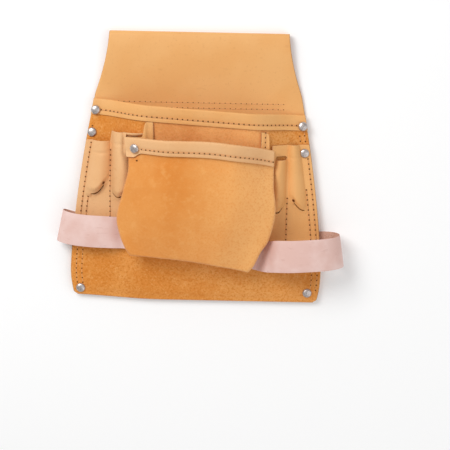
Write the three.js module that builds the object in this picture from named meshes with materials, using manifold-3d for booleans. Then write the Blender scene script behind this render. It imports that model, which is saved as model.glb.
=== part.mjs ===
import * as THREE from 'three';
import { mergeGeometries, mergeVertices } from 'three/addons/utils/BufferGeometryUtils.js';
import Module from 'manifold-3d';

const wasm = await Module();
wasm.setup();

// A leather nail and tool bag, lying on its back.
// X runs across the bag, +Y points up to the belt, +Z points out of its front.
// "down" is the distance below the bag's top fold, measured along its back.
// The origin is on the back face, in the middle of the belt tunnel.

// Driving sizes, in millimetres
const bodyLeather = 2.0;
const pocketLeather = 1.8;
const strapThickness = 2.4;
const strapWidth = 32;
const clearance = 0.3;
const bellyClearance = 0.45;
// Share of the extra belly clearance that is left at the flat side seams
const seamRoomShare = 0.45;

const bagLength = 266.5;
const topHalfWidth = 87.7;
const shoulderHalfWidth = 101.5;
const shoulderDown = 60;
const fullHalfWidth = 125.7;
const widestDown = bagLength * 0.9;
const bottomTaper = 3.5;
const bottomCornerRadius = 8;

const tunnelFlap = 81;
const tunnelRoom = 7;
const tunnelSeamDown = 70;
const panelRise = 20;
const tunnelCentreDown = 36;

const mainMouthDown = 72;
const mainMouthSlope = 0.062;
const mainBelly = 28;
// The main pouch bulges fully within bellyFlat of the half width, and not at all past bellyEdge.
const bellyFlat = 0.45;
const bellyEdge = 0.93;
const hemWidth = 15.5;

const frontMouthDown = 100;
const frontMouthDrop = 10;
const frontHalfWidth = 78;
const frontBottomDown = bagLength * 0.829;
const frontBottomSlope = 0.14;
const frontBottomBow = 6.7;
const leftPleatWidth = 16;
const rightPleatWidth = 10;
const bottomPleatWidth = 10;
const frontMouthBelly = 17;
const frontFaceBelly = 10;
const frontDepth = 19;
const pleatFold = 1.35;
const flangeWidth = 8;
const flangeRoom = 0.2;
// At the mouth the stitched flange reaches this much higher than the front pouch's own edge.
const flangeRise = 15;
const flangeRiseShare = 0.125;
const hemRoom = 0.8;
// The front hem gets this much deeper at its left end, round the rivet.
const hemCornerDrop = 6;

const leftSleeveEnd = bagLength * 0.75;
const rightSleeveEnd = bagLength * 0.769;
const leftSlitDown = bagLength * 0.593;
const rightSlitDown = bagLength * 0.645;
const leftTubeBulge = 9.5;
const rightTubeBulge = 9;
const leftSeamMargin = 6.5;
const rightSeamMargin = 10;
// The right inner tube is entered through a slot across its leather, this far down the bag.
// slotGape is the slot's height, and slotWidthShare its share of the tube's width.
const rightSlotDown = bagLength * 0.449;
const slotGape = 4.6;
const slotWidthShare = 0.86;
const slitCurve = 4;
const slitGape = 2.4;
const slitHole = 1.8;
// A hole stands above each outer slit, this far in from the tube's inner edge.
const slitHoleAbove = 10.5;
const slitHoleInset = 5.9;

const leftLoopDown = bagLength * 0.741;
const rightLoopDown = bagLength * 0.801;
const leftLoopRise = 25.6;
const rightLoopRise = 48.5;
const leftLoopReach = 9.8;
const rightLoopReach = 17.3;
const leftLoopTuck = 8.7;
const rightLoopTuck = 14.5;

const rivetCapRadius = 4.5;
const rivetCapHeight = 1.9;
const rivetShankRadius = 1.8;
const rivetHeadRadius = 3.4;
const rivetHeadHeight = 0.9;
const rivetSeatRoom = 1.15;
// How far rivets stand in from the bag's side at the mouth, at the sleeves and at the bottom
const mouthRivetInset = 4.3;
const sleeveRivetInset = 4.8;
const bottomRivetInset = 11.7;
const bottomRivetUp = 9;

// Colours and finishes
const smoothLeather = { color: 0xe4ab6c, roughness: 0.55, metalness: 0 };
const suedeLeather = { color: 0xe0954c, roughness: 0.95, metalness: 0 };
const strapLeather = { color: 0xe2bdb2, roughness: 0.6, metalness: 0 };
const nickel = { color: 0xc9c6c4, roughness: 0.25, metalness: 1 };

// Small helpers
const { smoothstep, lerp, clamp } = THREE.MathUtils;
const place = (x, down, z) => new THREE.Vector3(x, tunnelCentreDown - down, z);

// Reads one column of a table whose first column, share, rises from 0 to 1.
function readTable(table, column, share) {
  let row = 1;
  while (row < table.length - 1 && share > table[row].share) {
    row += 1;
  }
  const before = table[row - 1];
  const after = table[row];
  const along = clamp((share - before.share) / (after.share - before.share), 0, 1);
  return lerp(before[column], after[column], along);
}

// An open surface: point(column share, row share) on a grid.
function patch(columns, rows, point) {
  const positions = [];
  const triangles = [];
  for (let row = 0; row <= rows; row += 1) {
    for (let column = 0; column <= columns; column += 1) {
      positions.push(...point(column / columns, row / rows).toArray());
    }
  }
  for (let row = 0; row < rows; row += 1) {
    for (let column = 0; column < columns; column += 1) {
      const corner = row * (columns + 1) + column;
      const below = corner + columns + 1;
      triangles.push(corner, below, corner + 1, corner + 1, below, below + 1);
    }
  }
  const surface = new THREE.BufferGeometry();
  surface.setAttribute('position', new THREE.Float32BufferAttribute(positions, 3));
  surface.setIndex(triangles);
  return surface;
}

// Gives an open surface a wall: both faces lie half the wall off it, and its rims are closed.
function thicken(surface, wall) {
  const middle = mergeVertices(surface);
  middle.computeVertexNormals();
  const centre = middle.attributes.position;
  const normal = middle.attributes.normal;
  const index = Array.from(middle.index.array);
  const count = centre.count;
  const positions = new Float32Array(count * 6);
  for (let vertex = 0; vertex < count; vertex += 1) {
    for (let axis = 0; axis < 3; axis += 1) {
      const here = centre.getComponent(vertex, axis);
      const step = normal.getComponent(vertex, axis) * wall / 2;
      positions[vertex * 3 + axis] = here + step;
      positions[(vertex + count) * 3 + axis] = here - step;
    }
  }
  const edges = new Set();
  const triangles = [];
  for (let corner = 0; corner < index.length; corner += 3) {
    const [a, b, c] = index.slice(corner, corner + 3);
    triangles.push(a, b, c, a + count, c + count, b + count);
    [[a, b], [b, c], [c, a]].forEach(([from, to]) => edges.add(`${from} ${to}`));
  }
  edges.forEach((edge) => {
    const [from, to] = edge.split(' ').map(Number);
    if (!edges.has(`${to} ${from}`)) {
      triangles.push(to, from, from + count, to, from + count, to + count);
    }
  });
  const solid = new THREE.BufferGeometry();
  solid.setAttribute('position', new THREE.BufferAttribute(positions, 3));
  solid.setIndex(triangles);
  return solid;
}

function toManifold(geometry) {
  const bare = geometry.clone();
  bare.deleteAttribute('normal');
  bare.deleteAttribute('uv');
  const merged = mergeVertices(bare);
  const vertProperties = new Float32Array(merged.attributes.position.array);
  const triVerts = new Uint32Array(merged.index.array);
  return new wasm.Manifold(new wasm.Mesh({ numProp: 3, vertProperties, triVerts }));
}

function cut(geometry, cutters) {
  let solid = toManifold(geometry);
  cutters.forEach((cutter) => {
    solid = solid.subtract(toManifold(cutter));
  });
  const mesh = solid.getMesh();
  const result = new THREE.BufferGeometry();
  result.setAttribute('position', new THREE.BufferAttribute(new Float32Array(mesh.vertProperties), 3));
  result.setIndex(new THREE.BufferAttribute(new Uint32Array(mesh.triVerts), 1));
  return result;
}

const bag = new THREE.Group();

function add(name, geometry, finish) {
  const mesh = new THREE.Mesh(geometry, new THREE.MeshStandardMaterial(finish));
  mesh.name = name;
  bag.add(mesh);
}

// Outline of the bag: straight-sided top, shoulders, then a long flare to the bottom corners
function halfWidth(down) {
  const depth = clamp(down, 0, bagLength);
  if (depth < shoulderDown) {
    return topHalfWidth + (shoulderHalfWidth - topHalfWidth) * (depth / shoulderDown) ** 1.6;
  }
  const flare = Math.min((depth - shoulderDown) / (widestDown - shoulderDown), 1);
  const wide = shoulderHalfWidth + (fullHalfWidth - shoulderHalfWidth) * (1 - (1 - flare) ** 1.5);
  const low = Math.max((depth - widestDown) / (bagLength - widestDown), 0);
  const corner = Math.max(depth - (bagLength - bottomCornerRadius), 0);
  const rounding = bottomCornerRadius - Math.sqrt(bottomCornerRadius ** 2 - corner ** 2);
  return wide - bottomTaper * low * low - rounding;
}

// Heights of the layers above the table
const bodyUnderside = rivetHeadHeight + strapThickness + 2 * clearance;
const tunnelFoldRadius = (tunnelRoom + bodyLeather) / 2;
const flapMiddle = bodyLeather / 2;

function panelMiddle(down) {
  const seam = flapMiddle + bodyLeather + clearance;
  const fromFold = smoothstep(down, tunnelCentreDown, tunnelSeamDown);
  const toBody = smoothstep(down, tunnelFlap, tunnelFlap + panelRise);
  const top = flapMiddle + 2 * tunnelFoldRadius;
  return lerp(top, seam, fromFold) + (bodyUnderside + bodyLeather / 2 - seam) * toBody;
}

// The upward direction of a height field, one unit high
function steepness(height, x, down) {
  const step = 0.5;
  const slopeAcross = (height(x + step, down) - height(x - step, down)) / (2 * step);
  const slopeDown = (height(x, down + step) - height(x, down - step)) / (2 * step);
  return new THREE.Vector3(-slopeAcross, slopeDown, 1);
}

// How much higher a wall is on a slope than where it lies flat
const rise = (height, x, down) => steepness(height, x, down).length();
const unitNormal = (height, x, down) => steepness(height, x, down).normalize();

// Main pouch: flat at the side seams, bellied out in the middle, deepest at its mouth
const pouchColumns = 20;

function mainShape(x, down) {
  const share = Math.abs(x) / halfWidth(down);
  const fullness = 1 - clamp((down - mainMouthDown) / (bagLength - mainMouthDown), 0, 1);
  const swell = 1 - smoothstep(share, bellyFlat, bellyEdge);
  return { swell, belly: mainBelly * fullness * swell };
}

function mainMiddle(x, down) {
  return panelMiddle(down) + bodyLeather + clearance + mainShape(x, down).belly;
}

function mainMouth(x) {
  return mainMouthDown + mainMouthSlope * x;
}

// Middle of a leather layer that lies on top of another layer's middle
function layOn(below, belowWall, wall) {
  return (x, down) => {
    const gap = clearance + bellyClearance * Math.min(1, seamRoomShare + mainShape(x, down).swell);
    return below(x, down) + (gap + (belowWall + wall) / 2) * rise(below, x, down);
  };
}

const pocketBed = layOn(mainMiddle, bodyLeather, pocketLeather);

// Rows from a mouth or fold down to the bottom edge, the last of them round its corners
const cornerShare = 0.8;

function towardBottom(from, share) {
  const cornerStart = bagLength - bottomCornerRadius;
  if (share <= cornerShare) {
    return lerp(from, cornerStart, share / cornerShare);
  }
  const turn = (share - cornerShare) / (1 - cornerShare) * Math.PI / 2;
  return cornerStart + bottomCornerRadius * Math.sin(turn);
}

// Belt tunnel and back: one leather, as a path of { down, z } carried across the bag
const flapRows = 4;
const foldRows = 8;
const panelRows = 20;

function backPath(row) {
  if (row < flapRows) {
    return { down: lerp(tunnelFlap, tunnelFoldRadius, row / flapRows), z: flapMiddle, flap: true };
  }
  if (row < flapRows + foldRows) {
    const turn = Math.PI * (row - flapRows) / foldRows;
    const down = tunnelFoldRadius * (1 - Math.sin(turn));
    return { down, z: flapMiddle + tunnelFoldRadius * (1 - Math.cos(turn)), flap: true };
  }
  const down = towardBottom(tunnelFoldRadius, (row - flapRows - foldRows) / panelRows);
  return { down, z: panelMiddle(down), flap: false };
}

function backPanelSurface() {
  const rows = flapRows + foldRows + panelRows;
  return patch(8, rows, (across, along) => {
    const { down, z, flap } = backPath(Math.round(along * rows));
    return place((across * 2 - 1) * (flap ? topHalfWidth : halfWidth(down)), down, z);
  });
}

// The pouch front ends in a fold turned down over the back's bottom edge.
function mainPouchSurface() {
  const bodyRows = 15;
  const turnRows = 2;
  const foldOut = bodyLeather / 2 + clearance;
  return patch(pouchColumns, bodyRows + turnRows, (across, along) => {
    const row = Math.round(along * (bodyRows + turnRows));
    const share = across * 2 - 1;
    const mouth = mainMouth(share * halfWidth(mainMouthDown));
    if (row <= bodyRows) {
      const down = towardBottom(mouth, row / bodyRows);
      const x = share * halfWidth(down);
      return place(x, down, mainMiddle(x, down));
    }
    const turn = (row - bodyRows) / turnRows;
    const top = mainMiddle(share * halfWidth(bagLength), bagLength);
    const drop = bodyLeather + clearance;
    const out = foldOut * Math.sin(turn * Math.PI / 2);
    const z = top - drop * (1 - Math.cos(turn * Math.PI / 2));
    return place(share * halfWidth(bagLength), bagLength + out, z);
  });
}

function mainHemSurface() {
  return patch(pouchColumns, 2, (across, along) => {
    const share = across * 2 - 1;
    const mouth = mainMouth(share * halfWidth(mainMouthDown));
    const down = mouth + hemWidth * along;
    const x = share * halfWidth(down);
    return place(x, down, pocketBed(x, down));
  });
}

// Front pouch outline. left and right are shares of frontHalfWidth, pleat is a share of pleatWidth
// on each side, depth is a share of frontDepth.
const frontOutline = [
  { share: 0.0, left: 0.87, right: 0.96, leftPleat: 1.0, rightPleat: 0.4, depth: 0.0 },
  { share: 0.125, left: 0.87, right: 0.96, leftPleat: 1.0, rightPleat: 0.4, depth: 0.0 },
  { share: 0.25, left: 0.87, right: 0.96, leftPleat: 0.9, rightPleat: 0.5, depth: 0.45 },
  { share: 0.4375, left: 0.92, right: 0.99, leftPleat: 0.9, rightPleat: 0.7, depth: 0.85 },
  { share: 0.6875, left: 0.985, right: 0.985, leftPleat: 0.95, rightPleat: 0.95, depth: 1.0 },
  { share: 0.8125, left: 0.965, right: 0.865, leftPleat: 1.0, rightPleat: 1.0, depth: 1.0 },
  { share: 0.9375, left: 0.9, right: 0.75, leftPleat: 1.0, rightPleat: 1.0, depth: 0.97 },
  { share: 1.0, left: 0.82, right: 0.67, leftPleat: 1.0, rightPleat: 1.0, depth: 0.95 },
];

const frontMouth = (x) => frontMouthDown + frontMouthDrop * (Math.max(x, 0) / frontHalfWidth) ** 2;

function frontBottom(x) {
  return frontBottomDown + frontBottomSlope * x + frontBottomBow * (x / frontHalfWidth) ** 2;
}

// A point of the U-shaped outline: side share b on the sides, a from -1 to 1 along the bottom.
// inset moves it inwards by { side, bottom }.
function outlinePoint(a, b, inset) {
  const left = -(frontHalfWidth * readTable(frontOutline, 'left', b) - inset.left);
  const right = frontHalfWidth * readTable(frontOutline, 'right', b) - inset.right;
  const x = lerp(left, right, (a + 1) / 2);
  const down = lerp(frontMouth(x), frontBottom(x) - inset.bottom, b);
  return { x, down };
}

// The share of the belly that is lost at the front pouch's bottom
const bottomFlattening = 0.55;
const frontMiddleAt = (share) => smoothstep(1 - Math.abs(share), 0.06, 0.6);

function pleatInset(b, factor) {
  return {
    left: factor * leftPleatWidth * readTable(frontOutline, 'leftPleat', b),
    right: factor * rightPleatWidth * readTable(frontOutline, 'rightPleat', b),
    bottom: factor * bottomPleatWidth,
  };
}

// Height of the front leather at the pouch's outline
function frontRim(x, down, b) {
  const folded = pocketLeather + 2 * pleatFold + bellyClearance;
  return pocketBed(x, down) + folded + frontDepth * readTable(frontOutline, 'depth', b);
}

function frontFace(a, b) {
  const { x, down } = outlinePoint(a, b, { left: pleatFold, right: pleatFold, bottom: pleatFold });
  const belly = lerp(frontMouthBelly, frontFaceBelly, smoothstep(b, 0, 0.4));
  const z = frontRim(x, down, b) + belly * frontMiddleAt(a) * (1 - bottomFlattening * b ** 4);
  return { x, down, z };
}

// Rings of the pleat, from the face's border round the outline and in to the stitched flange.
// pleat is the share of the way in to the base fold, fall the share of the way down to it.
const pleatRings = [
  { pleat: 0, fall: 0, turn: 0 },
  { pleat: 0, fall: 0, turn: 1 },
  { pleat: 0, fall: 0, turn: 2 },
  { pleat: 0.5, fall: 0.45, turn: 2 },
  { pleat: 1, fall: 1, turn: 2 },
  { pleat: 1, fall: 1, turn: 3 },
];

function pleatPoint(a, b, ring) {
  const { pleat, fall, turn } = pleatRings[ring];
  const rim = frontFace(a, b);
  if (turn === 0) {
    return place(rim.x, rim.down, rim.z);
  }
  const flange = turn === 3 ? flangeWidth : 0;
  const fold = turn === 1 ? 0 : pleatFold;
  const inset = pleatInset(b, pleat);
  const moved = { left: inset.left + flange + fold, right: inset.right + flange + fold,
    bottom: inset.bottom + flange + fold };
  const outline = outlinePoint(a, b, moved);
  const x = outline.x;
  const down = outline.down - flangeRise * pleat * (1 - smoothstep(b, 0, flangeRiseShare));
  const aboveBed = rim.z - pleatFold * Math.min(turn, 2) - pocketBed(rim.x, rim.down);
  // A pleat that is pressed flat stays up on the sleeve's leather until it is past its edge.
  const drop = fall < 1 ? fall * readTable(frontOutline, 'depth', b) : 1;
  return place(x, down, pocketBed(x, down) + lerp(aboveBed, flangeRoom, drop));
}

const frontColumns = 12;
const frontRows = 16;

function frontPouchSurface() {
  const face = patch(frontColumns, frontRows, (across, along) => {
    const point = frontFace(across * 2 - 1, along);
    return place(point.x, point.down, point.z);
  });
  const rings = pleatRings.length - 1;
  const stations = frontRows * 2 + frontColumns;
  const pleat = patch(stations, rings, (along, inward) => {
    const station = Math.round(along * stations);
    const ring = Math.round(inward * rings);
    if (station <= frontRows) {
      return pleatPoint(-1, station / frontRows, ring);
    }
    if (station <= frontRows + frontColumns) {
      return pleatPoint((station - frontRows) / frontColumns * 2 - 1, 1, ring);
    }
    return pleatPoint(1, (stations - station) / frontRows, ring);
  });
  return mergeGeometries([face, pleat]);
}

function frontHemSurface() {
  const lift = pocketLeather + hemRoom;
  const depth = frontBottomDown - frontMouthDown;
  return patch(frontColumns, 4, (across, along) => {
    const a = across * 2 - 1;
    const b = along * (hemWidth + hemCornerDrop * smoothstep(-a, 0.8, 0.95)) / depth;
    const step = 0.01;
    const here = frontFace(a, b);
    const beside = frontFace(a + step, b);
    const beyond = frontFace(a, b + step);
    const centre = place(here.x, here.down, here.z);
    const acrossStep = place(beside.x, beside.down, beside.z).sub(centre);
    const downStep = place(beyond.x, beyond.down, beyond.z).sub(centre);
    const outward = downStep.cross(acrossStep).normalize();
    return centre.addScaledVector(outward, lift);
  });
}

// Tool sleeves. Distances are from the bag's axis, outwards; side is -1 left, +1 right.
// innerTop, inner and outer are shares of shoulderHalfWidth, and a tube with outer 0 reaches the side seam.
// top is a share of bagLength, and slit holds the shares of the tube between which its slit runs.
// A tube with a mouth is entered there instead of at its top, and lies flat above it.
const leftBank = {
  side: -1,
  end: leftSleeveEnd,
  slitDown: leftSlitDown,
  seamMargin: leftSeamMargin,
  bulge: leftTubeBulge,
  tubes: [
    { innerTop: 0.69, inner: 0.62, outer: 0.828, top: 0.36, mouth: 0, slit: [0.2, 0.9] },
    { innerTop: 0.842, inner: 0.852, outer: 0, top: 0.398, mouth: 0, slit: [0.15, 0.9] },
  ],
};
const rightBank = {
  side: 1,
  end: rightSleeveEnd,
  slitDown: rightSlitDown,
  seamMargin: rightSeamMargin,
  bulge: rightTubeBulge,
  tubes: [
    { innerTop: 0.759, inner: 0.709, outer: 0.867, top: 0.4015, mouth: rightSlotDown, slit: [0.15, 0.9] },
    { innerTop: 0.882, inner: 0.887, outer: 0, top: 0.4015, mouth: 0, slit: [0.1, 0.85] },
  ],
};

// A tube's inner edge moves from innerTop to inner over this stretch below its top.
const tubeNarrowing = { from: bagLength * 0.0375, to: bagLength * 0.169 };

function tubeEdges(bank, tube, down) {
  const below = smoothstep(down - bagLength * tube.top, tubeNarrowing.from, tubeNarrowing.to);
  const inner = shoulderHalfWidth * lerp(tube.innerTop, tube.inner, below);
  const outer = tube.outer > 0 ? shoulderHalfWidth * tube.outer : halfWidth(down) - bank.seamMargin;
  return { inner, outer };
}

// Where the sleeves' leather ends under the front pouch: half way into its pleat
function sleeveInnerEdge(side, down) {
  const share = clamp((down - frontMouthDown) / (frontBottomDown - frontMouthDown), 0, 1);
  const column = side < 0 ? 'left' : 'right';
  return frontHalfWidth * readTable(frontOutline, column, share) - pleatInset(share, 0.5)[column];
}

// The line where a tube stops: curved down in its middle
function slitLine(bank, share) {
  return bank.slitDown + slitCurve * Math.sin(Math.PI * share);
}

function sleeveMiddle(bank) {
  return (x, down) => {
    const distance = bank.side * x;
    let height = pocketBed(x, down);
    bank.tubes.forEach((tube) => {
      const { inner, outer } = tubeEdges(bank, tube, down);
      const share = (distance - inner) / (outer - inner);
      if (share > 0 && share < 1) {
        const line = slitLine(bank, share);
        const below = 1 - smoothstep(down, line - slitCurve / 2, line + slitCurve / 2);
        const open = below * smoothstep(down, tube.mouth - slotGape, tube.mouth + slotGape / 2);
        height += bank.bulge * Math.sin(Math.PI * share) ** 0.9 * open;
      }
    });
    return height;
  };
}

function sleeveSurface(bank) {
  const height = sleeveMiddle(bank);
  const [innerTube, outerTube] = bank.tubes;
  const columnCounts = [1, 6, 1, 6, 1];
  const columns = columnCounts.reduce((sum, count) => sum + count, 0);
  // Most rows are spent on the tubes, few below the slits.
  const tubeRows = 12;
  const rows = tubeRows + 2;
  const slitFoot = bank.slitDown + 2 * slitCurve;
  const stops = (down) => {
    const innerEdge = sleeveInnerEdge(bank.side, down);
    const inner = tubeEdges(bank, innerTube, down);
    const outer = tubeEdges(bank, outerTube, down);
    const first = Math.max(inner.inner, innerEdge + clearance);
    return [innerEdge, first, inner.outer, outer.inner, outer.outer, halfWidth(down) - clearance];
  };
  // Each span between two stops starts at its own height: the inner tube's top, a step, the outer tube's top.
  const spanTop = (span, within) => {
    if (span < 2) {
      return bagLength * innerTube.top;
    }
    return bagLength * (span > 2 ? outerTube.top : lerp(innerTube.top, outerTube.top, within));
  };
  return patch(columns, rows, (across, along) => {
    const column = Math.round(across * columns);
    let span = 0;
    let used = 0;
    while (column > used + columnCounts[span]) {
      used += columnCounts[span];
      span += 1;
    }
    const within = (column - used) / columnCounts[span];
    const row = Math.round(along * rows);
    const down = row < tubeRows
      ? lerp(spanTop(span, within), slitFoot, row / tubeRows)
      : lerp(slitFoot, bank.end, (row - tubeRows) / (rows - tubeRows));
    const distances = stops(down);
    const distance = lerp(distances[span], distances[span + 1], within);
    const x = bank.side * distance;
    return place(x, down, height(x, down));
  });
}

// Cutters reach this far through whatever they cut.
const cutterReach = 120;

// Crescent cutters that open the foot of each tube
function slitCutter(bank, tube) {
  const [from, to] = tube.slit;
  const crescent = new THREE.Shape();
  const points = 8;
  const edges = tubeEdges(bank, tube, bank.slitDown);
  const at = (share, gape) => {
    const x = bank.side * lerp(edges.inner, edges.outer, share);
    const opening = gape * Math.sin(Math.PI * (share - from) / (to - from));
    return [x, tunnelCentreDown - slitLine(bank, share) - opening];
  };
  crescent.moveTo(...at(from, 0));
  for (let point = 1; point <= points; point += 1) {
    crescent.lineTo(...at(lerp(from, to, point / points), slitGape / 2));
  }
  for (let point = points - 1; point > 0; point -= 1) {
    crescent.lineTo(...at(lerp(from, to, point / points), -slitGape / 2));
  }
  const cutter = new THREE.ExtrudeGeometry(crescent, { depth: cutterReach, bevelEnabled: false });
  cutter.translate(0, 0, -cutterReach / 2);
  return cutter;
}

// A slot across a tube, where it starts to stand up
function slotCutter(bank, tube) {
  const { inner, outer } = tubeEdges(bank, tube, tube.mouth);
  const width = (outer - inner) * slotWidthShare;
  const cutter = new THREE.BoxGeometry(width, slotGape, cutterReach);
  const spot = place(bank.side * (inner + outer) / 2, tube.mouth, 0);
  return cutter.translate(spot.x, spot.y, spot.z);
}

function slitHoleCutter(bank) {
  const { inner } = tubeEdges(bank, bank.tubes[1], bank.slitDown);
  const spot = place(bank.side * (inner + slitHoleInset), bank.slitDown - slitHoleAbove, 0);
  const cutter = new THREE.CylinderGeometry(slitHole, slitHole, cutterReach, 10);
  cutter.rotateX(Math.PI / 2).translate(spot.x, spot.y, spot.z);
  return cutter;
}

// Where the front pouch's pleat meets the main pouch, level with a loop
function pleatBase(side, down) {
  const share = clamp((down - frontMouthDown) / (frontBottomDown - frontMouthDown), 0, 1);
  const column = side < 0 ? 'left' : 'right';
  return frontHalfWidth * readTable(frontOutline, column, share) - pleatInset(share, 1)[column] - pleatFold;
}

// Side loops: a strap carried along stations.
// out goes from 0 at its front end, beside the front pouch's pleat, to 1 where it stands furthest out.
// drop is a share of strapWidth. onBed is 1 where it lies on the pouch, onBack where it lies under the back.
// rise is a share of the loop's rise. lean is how far its lower edge stands further out than its upper edge.
const tabMiddle = rivetHeadHeight + clearance + strapThickness / 2;
const leftLoop = {
  side: -1,
  down: leftLoopDown,
  rise: leftLoopRise,
  tuck: leftLoopTuck,
  reach: leftLoopReach,
  stations: [
    { out: 0, drop: 0, onBed: 1, onBack: 0, rise: 0.008, lean: 0.05 },
    { out: 0.11, drop: -0.016, onBed: 1, onBack: 0, rise: 0.031, lean: 0.02 },
    { out: 0.254, drop: -0.034, onBed: 0.5, onBack: 0, rise: 0.566, lean: 0 },
    { out: 0.457, drop: -0.059, onBed: 0, onBack: 0, rise: 1, lean: 0 },
    { out: 0.66, drop: -0.081, onBed: 0, onBack: 0, rise: 0.977, lean: 0 },
    { out: 0.833, drop: -0.116, onBed: 0, onBack: 0, rise: 0.883, lean: 0.1 },
    { out: 0.957, drop: -0.159, onBed: 0, onBack: 0, rise: 0.684, lean: 0.18 },
    { out: 1, drop: -0.184, onBed: 0, onBack: 0, rise: 0.449, lean: 0.2 },
    { out: 0.957, drop: -0.166, onBed: 0, onBack: 0, rise: 0.219, lean: 0.18 },
    { out: 0.862, drop: -0.128, onBed: 0, onBack: 0, rise: 0.113, lean: 0.12 },
    { out: 0.717, drop: -0.078, onBed: 0, onBack: 1, rise: 0, lean: 0.06 },
    { out: 0.457, drop: 0, onBed: 0, onBack: 1, rise: 0, lean: 0.02 },
    { out: 0.167, drop: 0.063, onBed: 0, onBack: 1, rise: 0, lean: 0 },
  ],
};
const rightLoop = {
  side: 1,
  down: rightLoopDown,
  rise: rightLoopRise,
  tuck: rightLoopTuck,
  reach: rightLoopReach,
  stations: [
    { out: 0, drop: 0, onBed: 1, onBack: 0, rise: 0.008, lean: -0.3 },
    { out: 0.11, drop: -0.003, onBed: 1, onBack: 0, rise: 0.025, lean: -0.2 },
    { out: 0.194, drop: -0.016, onBed: 0.5, onBack: 0, rise: 0.433, lean: -0.1 },
    { out: 0.29, drop: -0.038, onBed: 0, onBack: 0, rise: 0.845, lean: 0 },
    { out: 0.445, drop: -0.059, onBed: 0, onBack: 0, rise: 0.969, lean: 0 },
    { out: 0.626, drop: -0.078, onBed: 0, onBack: 0, rise: 1, lean: 0 },
    { out: 0.794, drop: -0.1, onBed: 0, onBack: 0, rise: 0.938, lean: 0.03 },
    { out: 0.923, drop: -0.113, onBed: 0, onBack: 0, rise: 0.794, lean: 0.07 },
    { out: 0.992, drop: -0.119, onBed: 0, onBack: 0, rise: 0.598, lean: 0.1 },
    { out: 1, drop: -0.116, onBed: 0, onBack: 0, rise: 0.402, lean: 0.1 },
    { out: 0.948, drop: -0.103, onBed: 0, onBack: 0, rise: 0.216, lean: 0.08 },
    { out: 0.852, drop: -0.084, onBed: 0, onBack: 0, rise: 0.08, lean: 0.05 },
    { out: 0.716, drop: -0.069, onBed: 0, onBack: 1, rise: 0, lean: 0.02 },
    { out: 0.445, drop: -0.047, onBed: 0, onBack: 1, rise: 0, lean: 0 },
    { out: 0.161, drop: -0.028, onBed: 0, onBack: 1, rise: 0, lean: 0 },
  ],
};
const strapBed = layOn(pocketBed, pocketLeather, strapThickness);

// A smooth curve through one column of a table of stations
function alongStations(stations, column, along) {
  const position = along * (stations.length - 1);
  const first = Math.min(Math.floor(position), stations.length - 2);
  const value = (row) => stations[clamp(row, 0, stations.length - 1)][column];
  const t = position - first;
  const before = (value(first + 1) - value(first - 1)) / 2;
  const after = (value(first + 2) - value(first)) / 2;
  const start = value(first);
  const end = value(first + 1);
  return start + before * t + (3 * (end - start) - 2 * before - after) * t * t
    + (2 * (start - end) + before + after) * t ** 3;
}

function loopPoint(loop, along, across) {
  const read = (column) => alongStations(loop.stations, column, along);
  const start = pleatBase(loop.side, loop.down) + loop.tuck;
  const furthest = fullHalfWidth + loop.reach;
  const widthwise = new THREE.Vector2(loop.side * read('lean'), 1).normalize();
  const edge = widthwise.multiplyScalar((across - 0.5) * strapWidth);
  const x = loop.side * lerp(start, furthest, read('out')) + edge.x;
  const down = loop.down + strapWidth * read('drop') + edge.y;
  const z = read('onBed') * strapBed(x, down) + read('onBack') * tabMiddle + read('rise') * loop.rise;
  return { x, down, z };
}

function loopSurface(loop) {
  return patch(3, (loop.stations.length - 1) * 2, (across, along) => {
    const { x, down, z } = loopPoint(loop, along, across);
    return place(x, down, z);
  });
}

// Rivets: a domed cap, a shank and a flat head on a lathe, set square to the leather.
// The leather's outer face is at height 0, and grip is the thickness of all that it holds.
const domedCap = { radius: rivetCapRadius, height: rivetCapHeight };
const flatCap = { radius: rivetHeadRadius, height: rivetHeadHeight };

function rivetGeometry(grip, cap) {
  const under = -grip - clearance;
  const top = clearance + cap.height;
  const profile = [
    [0, under - rivetHeadHeight], [rivetHeadRadius, under - rivetHeadHeight], [rivetHeadRadius, under],
    [rivetShankRadius, under], [rivetShankRadius, clearance], [cap.radius * 0.94, clearance],
    [cap.radius, clearance + cap.height * 0.3], [cap.radius * 0.6, clearance + cap.height * 0.85], [0, top],
  ];
  const points = profile.map(([radius, height]) => new THREE.Vector2(radius, height));
  const lathe = new THREE.LatheGeometry(points, 10);
  lathe.rotateX(Math.PI / 2);
  return lathe;
}

// Square to a strap at a place along and across it
function strapNormal(loop, along, across) {
  const step = 0.01;
  const at = (u, v) => {
    const { x, down, z } = loopPoint(loop, u, v);
    return place(x, down, z);
  };
  const forward = at(along + step, across).sub(at(along, across));
  const sideways = at(along, across + step).sub(at(along, across));
  const normal = forward.cross(sideways).normalize();
  return normal.z < 0 ? normal.negate() : normal;
}

const outerFace = (height, wall, x, down) => height(x, down) + wall / 2 * rise(height, x, down);
const panelHeight = (x, down) => panelMiddle(down);
const underPanel = (x, down) => outerFace(panelHeight, -bodyLeather, x, down);
const underMain = (x, down) => outerFace(mainMiddle, -bodyLeather, x, down);

// A rivet through the side seam. over is the height field of the outermost leather that it holds.
function seamRivet(name, side, inset, down, over, wall, holds) {
  const x = side * (halfWidth(down) - inset);
  return { name, x, down, top: outerFace(over, wall, x, down), low: underPanel(x, down), holds };
}

// The front pouch's one rivet stands near its upper left corner, in shares of the pouch from -1 to 1 across
// and from 0 to 1 down.
const frontRivet = { across: -0.91, down: 0.09 };

function frontPouchRivet(name, holds) {
  const spot = frontFace(frontRivet.across, frontRivet.down);
  const above = (pocketLeather * 1.5 + hemRoom) * rise(mainMiddle, spot.x, spot.down);
  return { name, ...spot, top: spot.z + above, low: underMain(spot.x, spot.down), holds };
}

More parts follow.
